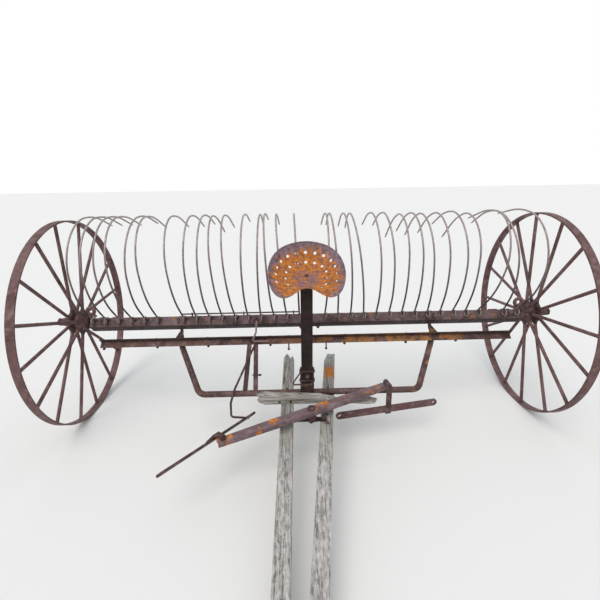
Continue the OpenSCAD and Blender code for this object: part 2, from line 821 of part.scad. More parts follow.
// Place at an end of the evener, at a height over its lower edge
function tongue_point(p) = [
    p[0],
    p[1] * cos(tongue_slope) - p[2] * sin(tongue_slope),
    tongue_rise + p[1] * sin(tongue_slope) + p[2] * cos(tongue_slope)
];
function evener_end(side, height) = tongue_point([
    side * arm_l * cos(evener_turn),
    -king_fore + side * arm_l * sin(evener_turn),
    evener_z + height
]);

module evener() {
    color(rust) difference() {
        at_king() rotate([0, 0, evener_turn]) translate([0, 0, evener_z]) difference() {
            translate([-evener_l / 2, 0, 0]) slab_x(evener_l) polygon([
                [-evener_w / 2, 0],
                [-evener_w / 2, evener_h],
                [evener_w / 2, evener_h],
                [evener_w / 2, 0],
                [evener_w / 2 - evener_t, 0],
                [evener_w / 2 - evener_t, evener_h - evener_t],
                [-evener_w / 2 + evener_t, evener_h - evener_t],
                [-evener_w / 2 + evener_t, 0]
            ]);
            translate([0, 0, -1]) cylinder(r = king_r + pin_gap, h = evener_h + 2);
        }
        for (side = [-1, 1]) translate(evener_end(side, evener_h) - [0, 0, evener_h + 20])
            cylinder(r = tree_pin_r + pin_gap, h = evener_h + 40);
    }
}

// Singletrees, flat bars on edge that hang by straps from upright pins at the evener's ends
tree_pin_r = 8;
tree_hole_r = 9;
tree_hole_in = 24;
pin_right = evener_end(1, evener_h);
pin_left = evener_end(-1, evener_h);

// Columns of a singletree: its pin, the turn and lean of the bar in degrees, its reach and drop from the pin
tree_right = [pin_right, 191.5, 0, 45, 152];
tree_left = [pin_left, 50.6, 42, 99, 56];

// Moves what is drawn about a singletree's middle, with its pin towards -Y
module at_tree(tree) {
    translate(tree[0]) rotate([0, 0, tree[1]]) translate([0, tree[3], -tree[4]]) children();
}

module tree(tree) {
    color(rust) at_tree(tree) rotate([90 + tree[2], 0, 0]) difference() {
        linear_extrude(height = tree_t, center = true) union() {
            square([tree_l - tree_w, tree_w], center = true);
            for (side = [-1, 1]) translate([side * (tree_l - tree_w) / 2, 0]) circle(r = tree_w / 2);
        }
        for (side = [-1, 1]) translate([side * (tree_l / 2 - tree_hole_in), 0, -tree_t])
            cylinder(r = tree_hole_r, h = 2 * tree_t);
    }
}

strap_t = 8;
strap_w = 34;
strap_over = 4;
strap_gap = 11;
strap_bend_r = 14;
washer_r = 14;
washer_gap = 3;
pin_nut_r = 14;

// Strap that lies over the evener's end, bends down and lies on the bar's far face, with its pin
module link(tree) {
    lean = tree[2];
    over = tree[4] + strap_gap + strap_t / 2;
    off = (tree_t + strap_t) / 2 + seat_fit / 3;
    along = (over - off * sin(lean)) / cos(lean);
    path = rounded([
        [0, -tree[3], over],
        [0, off * cos(lean) - along * sin(lean), over],
        off * [0, cos(lean), sin(lean)] + (tree_w / 2 + strap_over) * [0, sin(lean), -cos(lean)]
    ], strap_bend_r);
    color(dark_rust) at_tree(tree) {
        translate([-strap_w / 2, 0, 0]) slab_x(strap_w) polygon(strip(path, strap_t));
        translate([0, -tree[3], over - strap_t / 2]) cylinder(r = strap_w / 2, h = strap_t);
        translate([0, -tree[3], tree[4] + washer_gap]) cylinder(r = washer_r, h = strap_gap - washer_gap + 1);
        translate([0, -tree[3], tree[4] - 24]) cylinder(r = tree_pin_r, h = strap_gap + 25);
        translate([0, -tree[3], tree[4] - 20]) cylinder(r = pin_nut_r, h = 10, $fn = 6);
        translate([0, -tree[3], over + strap_t / 2 - 1]) cylinder(r = pin_nut_r, h = 9, $fn = 6);
    }
}

// The whole rake is centred from the tongue's tip to the back of the wheels

tip_angle = tongue_slope + iron_drop;
tip_reach = tongue_fore * cos(tongue_slope) + iron_z * sin(tongue_slope)
    + (iron_over + iron_end_r) * cos(tip_angle) + iron_t * sin(tip_angle);
shift_y = (tip_reach - wheel_r) / 2;

module placed() {
    translate([0, shift_y, 0]) children();
}

placed() rim(-1);  // rim_left
placed() rim(1);  // rim_right
placed() spokes(-1);  // spokes_left
placed() spokes(1);  // spokes_right
placed() hub(-1);  // hub_left
placed() hub(1);  // hub_right
placed() rake_head();
placed() teeth(-1);  // teeth_left
placed() teeth(1);  // teeth_right
placed() axle(-1);  // axle_left
placed() axle(1);  // axle_right
placed() axle_brackets();
placed() hinge_lugs();
placed() hinge_pins();
placed() pawl(-1);  // pawl_left
placed() pawl(1);  // pawl_right
placed() dump_rod();
placed() trip_boss();
placed() front_bar();
placed() hanger(-1);  // hanger_left
placed() hanger(1);  // hanger_right
placed() draft_bow();
placed() timber(timber_left);  // tongue_left
placed() timber(timber_right);  // tongue_right
placed() tongue_iron();
placed() cross_board();
placed() seat_standard();
placed() seat_spring();
placed() seat_clamps();
placed() seat();
placed() foot_rest();
placed() lever_post(-412, -392);  // lever_post_outer
placed() lever_post(-345, -350);  // lever_post_inner
placed() foot_lever();
placed() latch_link();
placed() king_bolt();
placed() evener();
placed() tree(tree_left);
placed() tree(tree_right);
placed() link(tree_left);  // link_left
placed() link(tree_right);  // link_right
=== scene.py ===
# %% [markdown]
# # A horse-drawn dump rake
# The rake stands parked with its teeth raised: two tall spoked wheels, a long head of spring teeth, a pan seat,
# a bow of pipe, a wooden tongue and the draft gear. The CAD model gives every rigid part in metres, X from wheel
# to wheel, -Y towards the horses and Z up. This lesson gives those parts their rust, wood and small fittings.

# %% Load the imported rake
import json
import math

import bmesh
import bpy
from mathutils import Matrix, Vector, noise


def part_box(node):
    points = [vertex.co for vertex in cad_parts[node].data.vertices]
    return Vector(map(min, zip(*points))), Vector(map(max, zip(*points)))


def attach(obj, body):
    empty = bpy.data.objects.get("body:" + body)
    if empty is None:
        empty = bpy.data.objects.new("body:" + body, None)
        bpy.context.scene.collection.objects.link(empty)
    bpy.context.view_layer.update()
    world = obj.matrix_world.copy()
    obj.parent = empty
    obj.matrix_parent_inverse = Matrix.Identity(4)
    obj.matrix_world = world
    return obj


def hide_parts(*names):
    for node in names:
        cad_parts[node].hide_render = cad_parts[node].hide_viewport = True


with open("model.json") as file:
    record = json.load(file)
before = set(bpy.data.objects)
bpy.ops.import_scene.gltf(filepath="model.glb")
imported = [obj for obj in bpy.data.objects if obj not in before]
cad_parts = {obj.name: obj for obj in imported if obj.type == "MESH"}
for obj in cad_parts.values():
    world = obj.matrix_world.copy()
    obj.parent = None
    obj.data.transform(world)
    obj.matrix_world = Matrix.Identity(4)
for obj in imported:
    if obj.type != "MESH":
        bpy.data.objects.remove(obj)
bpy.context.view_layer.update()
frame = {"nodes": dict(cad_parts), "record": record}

# %% [markdown]
# ## Places to measure from
# Most of the rake is set out from the line of the wheel axles, so that line comes first. It is read off the
# right tyre's box, and not typed in, so that the fittings follow if the CAD model moves.

# %% The axle line
tyre_low, tyre_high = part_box("rim_right")
axle_y = (tyre_low.y + tyre_high.y) / 2
axle_z = (tyre_low.z + tyre_high.z) / 2
track_x = (tyre_low.x + tyre_high.x) / 2
tyre_r = (tyre_high.z - tyre_low.z) / 2
print(f"axle line at y {axle_y:.4f}, z {axle_z:.4f}; tyres at x {track_x:.4f}, radius {tyre_r:.4f}")


def by_axle(x, y, z):
    """A place given from the middle of the axle line."""
    return Vector((x, axle_y + y, axle_z + z))


# %% [markdown]
# ## The camera
# The photograph was taken by someone standing in front of the tongue and looking a little down. The angles and
# the focal length were solved from both wheels, the head and the ground, so the render can be laid over it.

# %% Camera
EYE = Vector((-0.0940, axle_y - 2.7021, 1.6865))
EYE_TURN, EYE_PITCH, EYE_ROLL = (math.radians(degrees) for degrees in (-1.071, 90 - 17.679, -0.887))


def new_object(name, data):
    """An object that holds a mesh, a lamp or a camera, put into the scene."""
    made = bpy.data.objects.new(name, data)
    bpy.context.scene.collection.objects.link(made)
    return made


camera_data = bpy.data.cameras.new("standing_eye")
camera_data.sensor_width = 36.0
camera_data.lens = 24.216
camera = new_object("standing_eye", camera_data)
look = Matrix.Rotation(EYE_TURN, 4, "Z") @ Matrix.Rotation(EYE_PITCH, 4, "X") @ Matrix.Rotation(EYE_ROLL, 4, "Z")
camera.matrix_world = Matrix.Translation(EYE) @ look
bpy.context.scene.camera = camera
print("camera at", [round(v, 3) for v in EYE])

# %% [markdown]
# ## Floor and light
# A pale floor takes the shadow. One wide soft lamp stands for an overcast sky with a bright side, and the world
# fills the rest. The camera and the reflections see a white sky, while the light that falls on the rake stays plain.

# %% Colours and shader nodes


def linear(red, green, blue):
    """A colour as seen on screen, turned into the linear numbers that shaders use."""
    return tuple(c / 12.92 if c <= 0.04045 else ((c + 0.055) / 1.055) ** 2.4 for c in (red, green, blue)) + (1.0,)


def feed(tree, socket, value):
    """Gives a socket another node's output, or plain numbers."""
    if isinstance(value, bpy.types.NodeSocket):
        tree.links.new(value, socket)
    else:
        socket.default_value = value


def feed_all(tree, node, **values):
    """Feeds a node's inputs by their names, and gives back the node."""
    for name, value in values.items():
        feed(tree, node.inputs[name.replace("_", " ")], value)
    return node


def add_node(tree, kind, **values):
    """A new shader node of a kind, with its inputs fed."""
    return feed_all(tree, tree.nodes.new("ShaderNode" + kind), **values)


def sums(tree, kind, first, second):
    """Two values added and held within 0 and 1, or multiplied and so on."""
    node = add_node(tree, "Math")
    node.operation = kind
    node.use_clamp = kind == "ADD"
    feed(tree, node.inputs[0], first)
    feed(tree, node.inputs[1], second)
    return node.outputs[0]


print("colours and shader nodes are ready")

# %% Floor and light
bpy.context.scene.view_settings.view_transform = "Standard"

floor_bm = bmesh.new()
bmesh.ops.create_grid(floor_bm, x_segments=1, y_segments=1, size=40.0)
floor_mesh = bpy.data.meshes.new("yard_floor")
floor_bm.to_mesh(floor_mesh)
floor_bm.free()
floor = new_object("yard_floor", floor_mesh)
floor_paint = bpy.data.materials.new("pale_floor")
floor_paint.use_nodes = True
paint = floor_paint.node_tree
feed_all(paint, paint.nodes["Principled BSDF"], Base_Color=linear(0.88, 0.87, 0.85), Roughness=0.95)
floor.data.materials.append(floor_paint)

world = bpy.data.worlds.new("studio_sky")
bpy.context.scene.world = world
world.use_nodes = True
sky = world.node_tree
sky.nodes.clear()
seen = add_node(sky, "Background", Color=(1, 1, 1, 1), Strength=1.0)
fill = add_node(sky, "Background", Color=linear(0.93, 0.96, 1.0), Strength=0.85)
path = add_node(sky, "LightPath")
sees_white = path.outputs["Is Camera Ray"]
for ray in ("Is Glossy Ray", "Is Transmission Ray"):
    sees_white = sums(sky, "MAXIMUM", sees_white, path.outputs[ray])
sky_mix = add_node(sky, "MixShader")
for k, value in enumerate((sees_white, fill.outputs[0], seen.outputs[0])):
    feed(sky, sky_mix.inputs[k], value)
add_node(sky, "OutputWorld", Surface=sky_mix.outputs[0])

lamp_data = bpy.data.lights.new("bright_side", "SUN")
lamp_data.energy = 1.7
lamp_data.angle = math.radians(40)
lamp_data.color = (1.0, 0.97, 0.93)
lamp = new_object("bright_side", lamp_data)
lamp.matrix_world = Matrix.Rotation(math.radians(-24), 4, "Z") @ Matrix.Rotation(math.radians(38), 4, "X")
print("floor, sky and one soft lamp")

# %% [markdown]
# ## Rusted steel
# The steel is rusted through: a purple-brown skin with darker stains, paler scuffs, fine pits, and in places a
# bright orange bloom. All of it is noise on Object coordinates, so a pattern stays on its bar when the bar moves.
# One function mixes the layers, and each part of the rake gets its own colours and its own share of orange. On
# some parts it also paints shade: the skin darkens by height where a flange faces away from the light.

# %% Layers that the finishes share


def new_finish(name):
    """A material with its shader, and its object coordinates as the first layer to build on."""
    finish = bpy.data.materials.new(name)
    finish.use_nodes = True
    tree = finish.node_tree
    return finish, tree, tree.nodes["Principled BSDF"], add_node(tree, "TexCoord").outputs["Object"]


def speckle(tree, where, size, detail=6.0, roughness=0.6, stretch=(1, 1, 1), shift=(0, 0, 0)):
    """Noise whose spots are about size metres across, stretched by a factor along each axis."""
    finer = tuple(1 / (size * s) for s in stretch)
    lie = add_node(tree, "Mapping", Vector=where, Scale=finer, Location=shift).outputs["Vector"]
    return add_node(tree, "TexNoise", Vector=lie, Scale=1.0, Detail=detail, Roughness=roughness).outputs["Fac"]


def span(tree, value, low, high, to_low=0.0, to_high=1.0):
    """A value stretched from one span to another and held within it."""
    node = add_node(tree, "MapRange", Value=value, From_Min=low, From_Max=high, To_Min=to_low, To_Max=to_high)
    return node.outputs["Result"]


def blend(tree, share, under, over, kind="MIX"):
    """One colour laid over another by a share; each colour is a socket or plain numbers."""
    node = add_node(tree, "Mix")
    node.data_type = "RGBA"
    node.blend_type = kind
    return feed_all(tree, node, Factor=share, A=under, B=over).outputs["Result"]


def relief(tree, shader, layers):
    """Bumps one on another; each layer is a value, its depth in metres and its strength."""
    under = {}
    for value, depth, strength in layers:
        bump = add_node(tree, "Bump", Height=value, Distance=depth, Strength=strength, **under)
        under = {"Normal": bump.outputs["Normal"]}
    feed_all(tree, shader, **under)


def axis_of(tree, where, axis):
    """One of a place's three distances."""
    return add_node(tree, "SeparateXYZ", Vector=where).outputs[axis]


print("noise, spans, blends and bumps are ready")

# %% The rust finish
SKIN = linear(0.40, 0.30, 0.29)
SKIN_DARK = linear(0.21, 0.135, 0.12)
SKIN_PALE = linear(0.57, 0.48, 0.47)
BLOOM = linear(0.86, 0.52, 0.14)
BLOOM_DARK = linear(0.60, 0.33, 0.12)
# The colour of painted shade, laid over the skin where a flange faces away from the light.
PAINTED_SHADE = linear(0.12, 0.08, 0.075)


def rusted(
    name, skin=SKIN, dark=SKIN_DARK, pale=SKIN_PALE, orange=0.0, where_orange=None, spot=0.10, gloss=0.62,
    bloom=BLOOM, bloom_dark=BLOOM_DARK, painted_shade=None,
):
    """Rusted steel. orange is the share of bright bloom, where_orange may limit it to a part of the piece, and
    the last argument is painted shade: it darkens the skin from its first height, where it is plain, to its second."""
    finish, tree, shader, where = new_finish(name)
    stain = span(tree, speckle(tree, where, 0.16, 8, 0.65), 0.34, 0.66)
    colour = blend(tree, stain, dark, skin)
    scuff = span(tree, speckle(tree, where, 0.045, 8, 0.7, shift=(3, 1, 7)), 0.50, 0.72, 0.0, 0.75)
    colour = blend(tree, scuff, colour, pale)
    grain = span(tree, speckle(tree, where, 0.006, 5, 0.7), 0.30, 0.72, 0.62, 1.22)
    grey = add_node(tree, "CombineColor", Red=grain, Green=grain, Blue=grain).outputs[0]
    shade = blend(tree, 1.0, colour, grey, "MULTIPLY")
    patch = None
    if orange > 0:
        limit = 0.66 - 0.26 * orange
        patch = span(tree, speckle(tree, where, spot, 9, 0.68, shift=(11, 5, 2)), limit, limit + 0.06)
        if where_orange:
            patch = sums(tree, "MULTIPLY", patch, where_orange(tree, where))
        flake = span(tree, speckle(tree, where, 0.012, 6, 0.7, shift=(1, 8, 4)), 0.36, 0.62)
        shade = blend(tree, patch, shade, blend(tree, flake, bloom_dark, bloom))
    # Painted shade: the skin darkens with height on the piece, where a flange faces away from the light.
    if painted_shade:
        painted_shade_share = span(tree, axis_of(tree, where, "Z"), *painted_shade, 0.0, 0.72)
        shade = blend(tree, painted_shade_share, shade, PAINTED_SHADE)
    dull = span(tree, speckle(tree, where, 0.03, 6, 0.6, shift=(2, 2, 9)), 0.3, 0.7, gloss - 0.12, gloss + 0.2)
    feed_all(tree, shader, Base_Color=shade, Roughness=dull, Metallic=0.15, Specular_IOR_Level=0.4)
    pits = span(tree, speckle(tree, where, 0.004, 4, 0.6, shift=(6, 6, 1)), 0.35, 0.65)
    scale = span(tree, speckle(tree, where, 0.022, 6, 0.6), 0.3, 0.7)
    layers = [(scale, 0.0016, 0.35), (pits, 0.0005, 0.30)]
    if patch is not None:
        layers.append((patch, 0.0010, 0.35))
    relief(tree, shader, layers)
    return finish


def right_side(low, high, last=9.0):
    """Limits orange to the right of the rake: it grows between two distances across, and ends after the last."""
    def share(tree, where):
        across = axis_of(tree, where, "X")
        grown = span(tree, across, low, high, 0.12, 1.0)
        return sums(tree, "MULTIPLY", grown, span(tree, across, last, last + 0.2, 1.0, 0.1))
    return share


print("rusted and right_side are ready")

# %% Rust finishes
DULL_BLOOM = {"bloom": linear(0.64, 0.43, 0.22), "bloom_dark": linear(0.43, 0.28, 0.17)}
finish_wheel = rusted("wheel_rust", skin=linear(0.47, 0.35, 0.345), dark=linear(0.31, 0.20, 0.19))
# The head's lower flange faces down, away from the light: its skin is painted darker below the corner, as painted
# shade.
finish_head = rusted(
    "head_rust", skin=linear(0.44, 0.35, 0.36), orange=0.30, spot=0.06,
    painted_shade=(axle_z - 0.014, axle_z - 0.022), **DULL_BLOOM
)
finish_link = rusted("link_rust", skin=linear(0.60, 0.50, 0.48), dark=linear(0.42, 0.32, 0.31))
# The bar's upper flange faces down into the bar's opening: its skin is painted darker above the corner, as painted
# shade.
finish_bar = rusted(
    "bar_rust", skin=linear(0.38, 0.28, 0.27), orange=0.72, where_orange=right_side(-0.35, 0.25, 0.95),
    painted_shade=(axle_z - 0.102, axle_z - 0.094), **DULL_BLOOM
)
finish_pipe = rusted("pipe_rust", orange=0.5, where_orange=right_side(0.3, 0.85), spot=0.08, **DULL_BLOOM)
finish_rod = rusted("rod_rust", skin=linear(0.33, 0.235, 0.22), dark=linear(0.17, 0.105, 0.095))
finish_casting = rusted("casting_rust", skin=linear(0.35, 0.25, 0.24), dark=linear(0.18, 0.115, 0.105), gloss=0.7)
finish_evener = rusted(
    "evener_rust", skin=linear(0.51, 0.42, 0.43), dark=linear(0.36, 0.27, 0.275), pale=linear(0.64, 0.57, 0.58),
    orange=0.5, gloss=0.5,
)
finish_tree = rusted("singletree_rust", skin=linear(0.43, 0.31, 0.31), dark=linear(0.30, 0.19, 0.18))
# The seat spring leans forward over its base, so its face lies in shade: its very dark skin is painted shade.
finish_spring_painted_shade = rusted(
    "seat_spring_painted_shade_rust", skin=linear(0.20, 0.13, 0.12), dark=linear(0.10, 0.06, 0.055), pale=linear(0.28, 0.20, 0.19),
    gloss=0.75,
)
print("rust finishes:", [m.name for m in bpy.data.materials if m.name.endswith("rust")])

# %% [markdown]
# ## Tooth steel
# The teeth are dark at their roots and pale, almost silvery brown, over the top, partly where hay rubbing has worn
# them and partly as painted light from above; a pale band round each coil is a painted highlight. The height on the
# piece decides the share of the pale skin, with noise to break its edge.

# %% Tooth steel
# Heights where the teeth turn pale: over the top partly worn by hay and partly painted light from above, and round
# the coils a painted highlight.
PALE_TOP_FROM, PALE_TOP_TO = 0.80, 1.32
COIL_HIGHLIGHT_FROM, COIL_HIGHLIGHT_TO = 0.768, 0.790


def tooth_steel():
    """Dark roots, coils paler as a painted highlight, and tops paler by height, partly worn by hay and partly
    painted light.
    """
    finish, tree, shader, where = new_finish("tooth_steel")
    # Paler with height: partly worn by hay, partly painted light from above.
    height = span(tree, axis_of(tree, where, "Z"), PALE_TOP_FROM, PALE_TOP_TO)
    uneven = span(tree, speckle(tree, where, 0.05, 6, 0.7), 0.2, 0.8, -0.22, 0.22)
    rubbed_and_sunlit = sums(tree, "ADD", height, uneven)
    # A painted highlight: a pale band round the coils.
    coil = span(tree, axis_of(tree, where, "Z"), COIL_HIGHLIGHT_FROM, COIL_HIGHLIGHT_TO, 0.55, 0.0)
    rubbed_and_sunlit = sums(tree, "ADD", rubbed_and_sunlit, coil)
    stain = span(tree, speckle(tree, where, 0.02, 6, 0.7, shift=(5, 2, 2)), 0.3, 0.7)
    dark = blend(tree, stain, linear(0.16, 0.11, 0.11), linear(0.27, 0.20, 0.195))
    pale = blend(tree, stain, linear(0.47, 0.41, 0.40), linear(0.68, 0.63, 0.62))
    dull = span(tree, rubbed_and_sunlit, 0.0, 1.0, 0.68, 0.42)
    feed_all(tree, shader, Base_Color=blend(tree, rubbed_and_sunlit, dark, pale), Roughness=dull, Metallic=0.35)
    relief(tree, shader, [(span(tree, speckle(tree, where, 0.005, 4, 0.6), 0.3, 0.7), 0.0005, 0.3)])
    return finish


finish_tooth = tooth_steel()
print("made", finish_tooth.name)

# %% [markdown]
# ## Rusted seat
# The dish of the seat is bright orange where rain stands in it, worn in streaks in its middle, and its raised rim is
# worn back to purple-brown. Distance from the middle of the dish, read from Object coordinates centred by a Mapping
# node, tells them apart.

# %% Seat finish
seat_low, seat_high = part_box("seat")
SEAT_AT, SEAT_TILT = Vector(((seat_low.x + seat_high.x) / 2, axle_y - 0.500, 1.126)), math.radians(25)
DISH_AHEAD, DISH_R = 0.040, 0.222


def seat_rust():
    """Orange in the dish, purple-brown on the rim; distances are shares of the dish's radius."""
    finish, tree, shader, where = new_finish("seat_rust")
    centred = add_node(
        tree, "Mapping", Vector=where, Location=SEAT_AT - Vector((0, DISH_AHEAD, 0)),
        Rotation=(SEAT_TILT, 0, 0), Scale=(DISH_R, DISH_R, DISH_R),
    )
    centred.vector_type = "TEXTURE"
    length = add_node(tree, "VectorMath")
    length.operation = "LENGTH"
    feed(tree, length.inputs[0], centred.outputs["Vector"])
    far = length.outputs["Value"]
    uneven = span(tree, speckle(tree, where, 0.045, 8, 0.7), 0.2, 0.8, -0.22, 0.22)
    rim = span(tree, sums(tree, "ADD", far, uneven), 0.80, 0.95)
    flake = span(tree, speckle(tree, where, 0.02, 9, 0.72, shift=(4, 1, 1)), 0.34, 0.62)
    dish = blend(tree, flake, linear(0.37, 0.215, 0.12), linear(0.80, 0.48, 0.15))
    bare = span(tree, speckle(tree, where, 0.035, 9, 0.75, shift=(9, 3, 3)), 0.50, 0.64, 0.0, 0.85)
    dish = blend(tree, bare, dish, linear(0.42, 0.33, 0.34))
    streak = span(tree, speckle(tree, where, 0.022, 7, 0.7, stretch=(2.2, 0.7, 1), shift=(2, 6, 1)), 0.42, 0.56)
    worn = sums(tree, "MULTIPLY", streak, span(tree, far, 0.20, 0.46, 0.85, 0.0))
    dish = blend(tree, worn, dish, linear(0.40, 0.35, 0.42))
    edge = blend(tree, flake, linear(0.27, 0.18, 0.18), linear(0.50, 0.42, 0.46))
    dull = span(tree, rim, 0, 1, 0.82, 0.5)
    feed_all(tree, shader, Base_Color=blend(tree, rim, dish, edge), Roughness=dull, Metallic=0.12)
    relief(tree, shader, [(flake, 0.0012, 0.4), (span(tree, speckle(tree, where, 0.004), 0.3, 0.7), 0.0005, 0.3)])
    return finish


finish_seat = seat_rust()
print("made", finish_seat.name)

# %% [markdown]
# ## Weathered timber
# The tongue is old sawn timber, grey and furred by weather, with long dark checks along its grain and a greenish
# cast where it lay damp. Noise stretched along the timber's length gives grain, and a narrow slice of a second
# stretched noise gives the checks, which are also pressed in as bumps. The tongue's rear ends carry white lichen,
# and its front is bleached in small flecks.

# %% Timber finish
TONGUE_SLOPE = math.radians(8)


def old_timber(name, along, stain=None, pale=1.0):
    """Grey timber whose grain follows the Y axis for the tongue, or the X axis for the cross board. stain is the
    place of an orange stain along the tongue, and pale makes the wood lighter or darker."""
    finish, tree, shader, where = new_finish(name)
    long = (0.05, 1, 0.05) if along == "Y" else (1, 0.05, 0.05)
    turned = (-TONGUE_SLOPE if along == "Y" else 0, 0, 0)
    lie = add_node(tree, "Mapping", Vector=where, Rotation=turned).outputs["Vector"]
    grain = span(tree, speckle(tree, lie, 0.16, 9, 0.68, stretch=long), 0.28, 0.72)
    colour = blend(
        tree, grain, linear(0.42 * pale, 0.40 * pale, 0.37 * pale), linear(0.71 * pale, 0.69 * pale, 0.66 * pale)
    )
    damp = span(tree, speckle(tree, lie, 0.12, 6, 0.6, shift=(7, 7, 7)), 0.50, 0.70, 0.0, 0.45)
    colour = blend(tree, damp, colour, linear(0.45, 0.47, 0.41))
    brown = span(tree, speckle(tree, lie, 0.09, 7, 0.65, shift=(1, 4, 9)), 0.60, 0.74, 0.0, 0.6)
    colour = blend(tree, brown, colour, linear(0.44, 0.37, 0.30))
    check = speckle(tree, lie, 0.55, 4, 0.5, stretch=(0.02, 1, 0.02) if along == "Y" else (1, 0.02, 0.02))
    closeness = sums(tree, "ABSOLUTE", sums(tree, "SUBTRACT", check, 0.5), 0)
    split = span(tree, closeness, 0.004, 0.016, 1.0, 0.0)
    colour = blend(tree, split, colour, linear(0.16, 0.14, 0.12))
    if along == "Y":
        rear = axis_of(tree, where, "Y")
        lichen = span(tree, speckle(tree, where, 0.03, 9, 0.75, shift=(3, 3, 8)), 0.40, 0.56)
        lichen = sums(tree, "MULTIPLY", lichen, span(tree, rear, axle_y - 0.12, axle_y + 0.04, 0.0, 0.8))
        colour = blend(tree, lichen, colour, linear(0.80, 0.81, 0.77))
        fleck = span(tree, speckle(tree, lie, 0.014, 8, 0.75, stretch=(1, 3, 1), shift=(6, 2, 4)), 0.42, 0.58)
        fleck = sums(tree, "MULTIPLY", fleck, span(tree, rear, axle_y - 1.05, axle_y - 0.60, 0.75, 0.0))
        colour = blend(tree, fleck, colour, linear(0.83, 0.80, 0.78))
    if stain:
        band = span(tree, rear, stain - 0.10, stain - 0.05)
        band = sums(tree, "MULTIPLY", band, span(tree, rear, stain + 0.02, stain + 0.07, 1, 0))
        rough = span(tree, speckle(tree, where, 0.03, 8, 0.7, shift=(8, 1, 3)), 0.36, 0.52)
        colour = blend(tree, sums(tree, "MULTIPLY", band, rough), colour, linear(0.72, 0.44, 0.17))
    feed_all(tree, shader, Base_Color=colour, Roughness=0.92, Specular_IOR_Level=0.2)
    fur = span(tree, speckle(tree, lie, 0.02, 5, 0.7, stretch=long), 0.3, 0.7)
    relief(tree, shader, [(grain, 0.003, 0.6), (fur, 0.001, 0.5), (span(tree, split, 0, 1, 1, 0), 0.004, 0.8)])
    return finish


finish_tongue = old_timber("tongue_timber", "Y")
finish_stained = old_timber("stained_timber", "Y", stain=axle_y - 0.17)
finish_board = old_timber("board_timber", "X", pale=1.12)
print("made", finish_tongue.name, finish_stained.name, finish_board.name)

# %% [markdown]
# ## A finish for every CAD part
# Each finish is listed with the CAD nodes that wear it. A node keeps its shape where that shape is right, and only
# gets its material here.

# %% Finishes by node
finishes = (
    (finish_wheel, "rim_left rim_right spokes_left spokes_right pawl_left pawl_right"),
    (finish_casting, "hub_left hub_right axle_left axle_right axle_brackets hinge_lugs hinge_pins trip_boss"),
    (finish_casting, "hanger_left hanger_right tongue_iron king_bolt"),
    (finish_head, "rake_head"),
    (finish_tooth, "teeth_left teeth_right"),
    (finish_bar, "front_bar"),
    (finish_pipe, "draft_bow seat_clamps"),
    (finish_rod, "dump_rod seat_standard foot_rest lever_post_outer lever_post_inner foot_lever"),
    # The left singletree's face is turned away from the light, so it wears the darker rod rust as painted shade; the
    # right one wears the lighter singletree rust.
    (finish_rod, "tree_left link_left link_right"),
    (finish_link, "latch_link"),
    (finish_evener, "evener"),
    (finish_tree, "tree_right"),
    (finish_spring_painted_shade, "seat_spring"),
    (finish_seat, "seat"),
    (finish_tongue, "tongue_left"),
    (finish_stained, "tongue_right"),
    (finish_board, "cross_board"),
)
finish_of = {node: finish for finish, nodes in finishes for node in nodes.split()}
for node, finish in finish_of.items():
    mesh = frame["nodes"][node].data
    mesh.materials.clear()
    mesh.materials.append(finish)
print(len(finish_of), "nodes dressed;", sorted(set(frame["nodes"]) - set(finish_of)), "left")

# %% [markdown]
# ## Softened edges
# Real rolled and forged steel has no razor edges, and a rounded edge catches light. For each flat bar and casting
# a copy of the CAD mesh is merged, its flat faces are joined again, its sharp edges are bevelled, and the copy
# stands in for the node. The copy has the same size, so nothing moves.

# %% Edge softening


def finished_piece(name, bm, finish, body, sharp=35):
    """Turns a bmesh into an object at the origin that rides on a body and takes a finish."""
    mesh = bpy.data.meshes.new(name)
    bm.to_mesh(mesh)
    bm.free()
    mesh.shade_smooth()
    mesh.set_sharp_from_angle(angle=math.radians(sharp))
    mesh.materials.append(finish)
    piece = new_object(name, mesh)
    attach(piece, body)
    print(name, len(mesh.polygons), "faces")
    return piece


body_of = {node: body for body, nodes in frame["record"]["behaviour"]["bodies"].items() for node in nodes}


def stands_for(node, name, bm, sharp=35):
    """Turns a bmesh into the piece that is seen in place of a CAD node, with that node's body and finish."""
    piece = finished_piece(name, bm, finish_of[node], body_of[node], sharp)
    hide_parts(node)


def merged_copy(node):
    """A copy of a CAD node whose corners are joined and whose flat faces are whole again."""
    bm = bmesh.new()
    bm.from_mesh(frame["nodes"][node].data)
    bmesh.ops.remove_doubles(bm, verts=bm.verts, dist=0.00002)
    bmesh.ops.dissolve_limit(
        bm, angle_limit=math.radians(1.5), use_dissolve_boundaries=False, verts=bm.verts, edges=bm.edges
    )
    return bm


def sliced(bm, place, direction):
    """Cuts every face along a plane, so that the shape can be bent or roughened there."""
    bmesh.ops.bisect_plane(
        bm, geom=bm.verts[:] + bm.edges[:] + bm.faces[:], dist=0.00001, plane_co=place, plane_no=direction
    )


def rounded(bm, geom, width, segments=2, affect="EDGES", clamp=False):
    """Bevels some edges or corners by a width, and gives back the new faces."""
    return bmesh.ops.bevel(
        bm, geom=geom, offset=width, offset_type="OFFSET", segments=segments, profile=0.5,
        affect=affect, material=-1, clamp_overlap=clamp,
    )["faces"]


def softened(node, width, shortest=0.0, shaped=None):
    """A copy of a CAD node, changed by shaped if given, with its sharp edges rounded unless they are too short."""
    bm = merged_copy(node)
    if shaped:
        shaped(bm)
    sharp = [
        e for e in bm.edges
        if e.is_manifold and e.calc_face_angle() > math.radians(32) and e.calc_length() > shortest
    ]
    rounded(bm, sharp, width, clamp=True)
    stands_for(node, node + "_worn", bm)


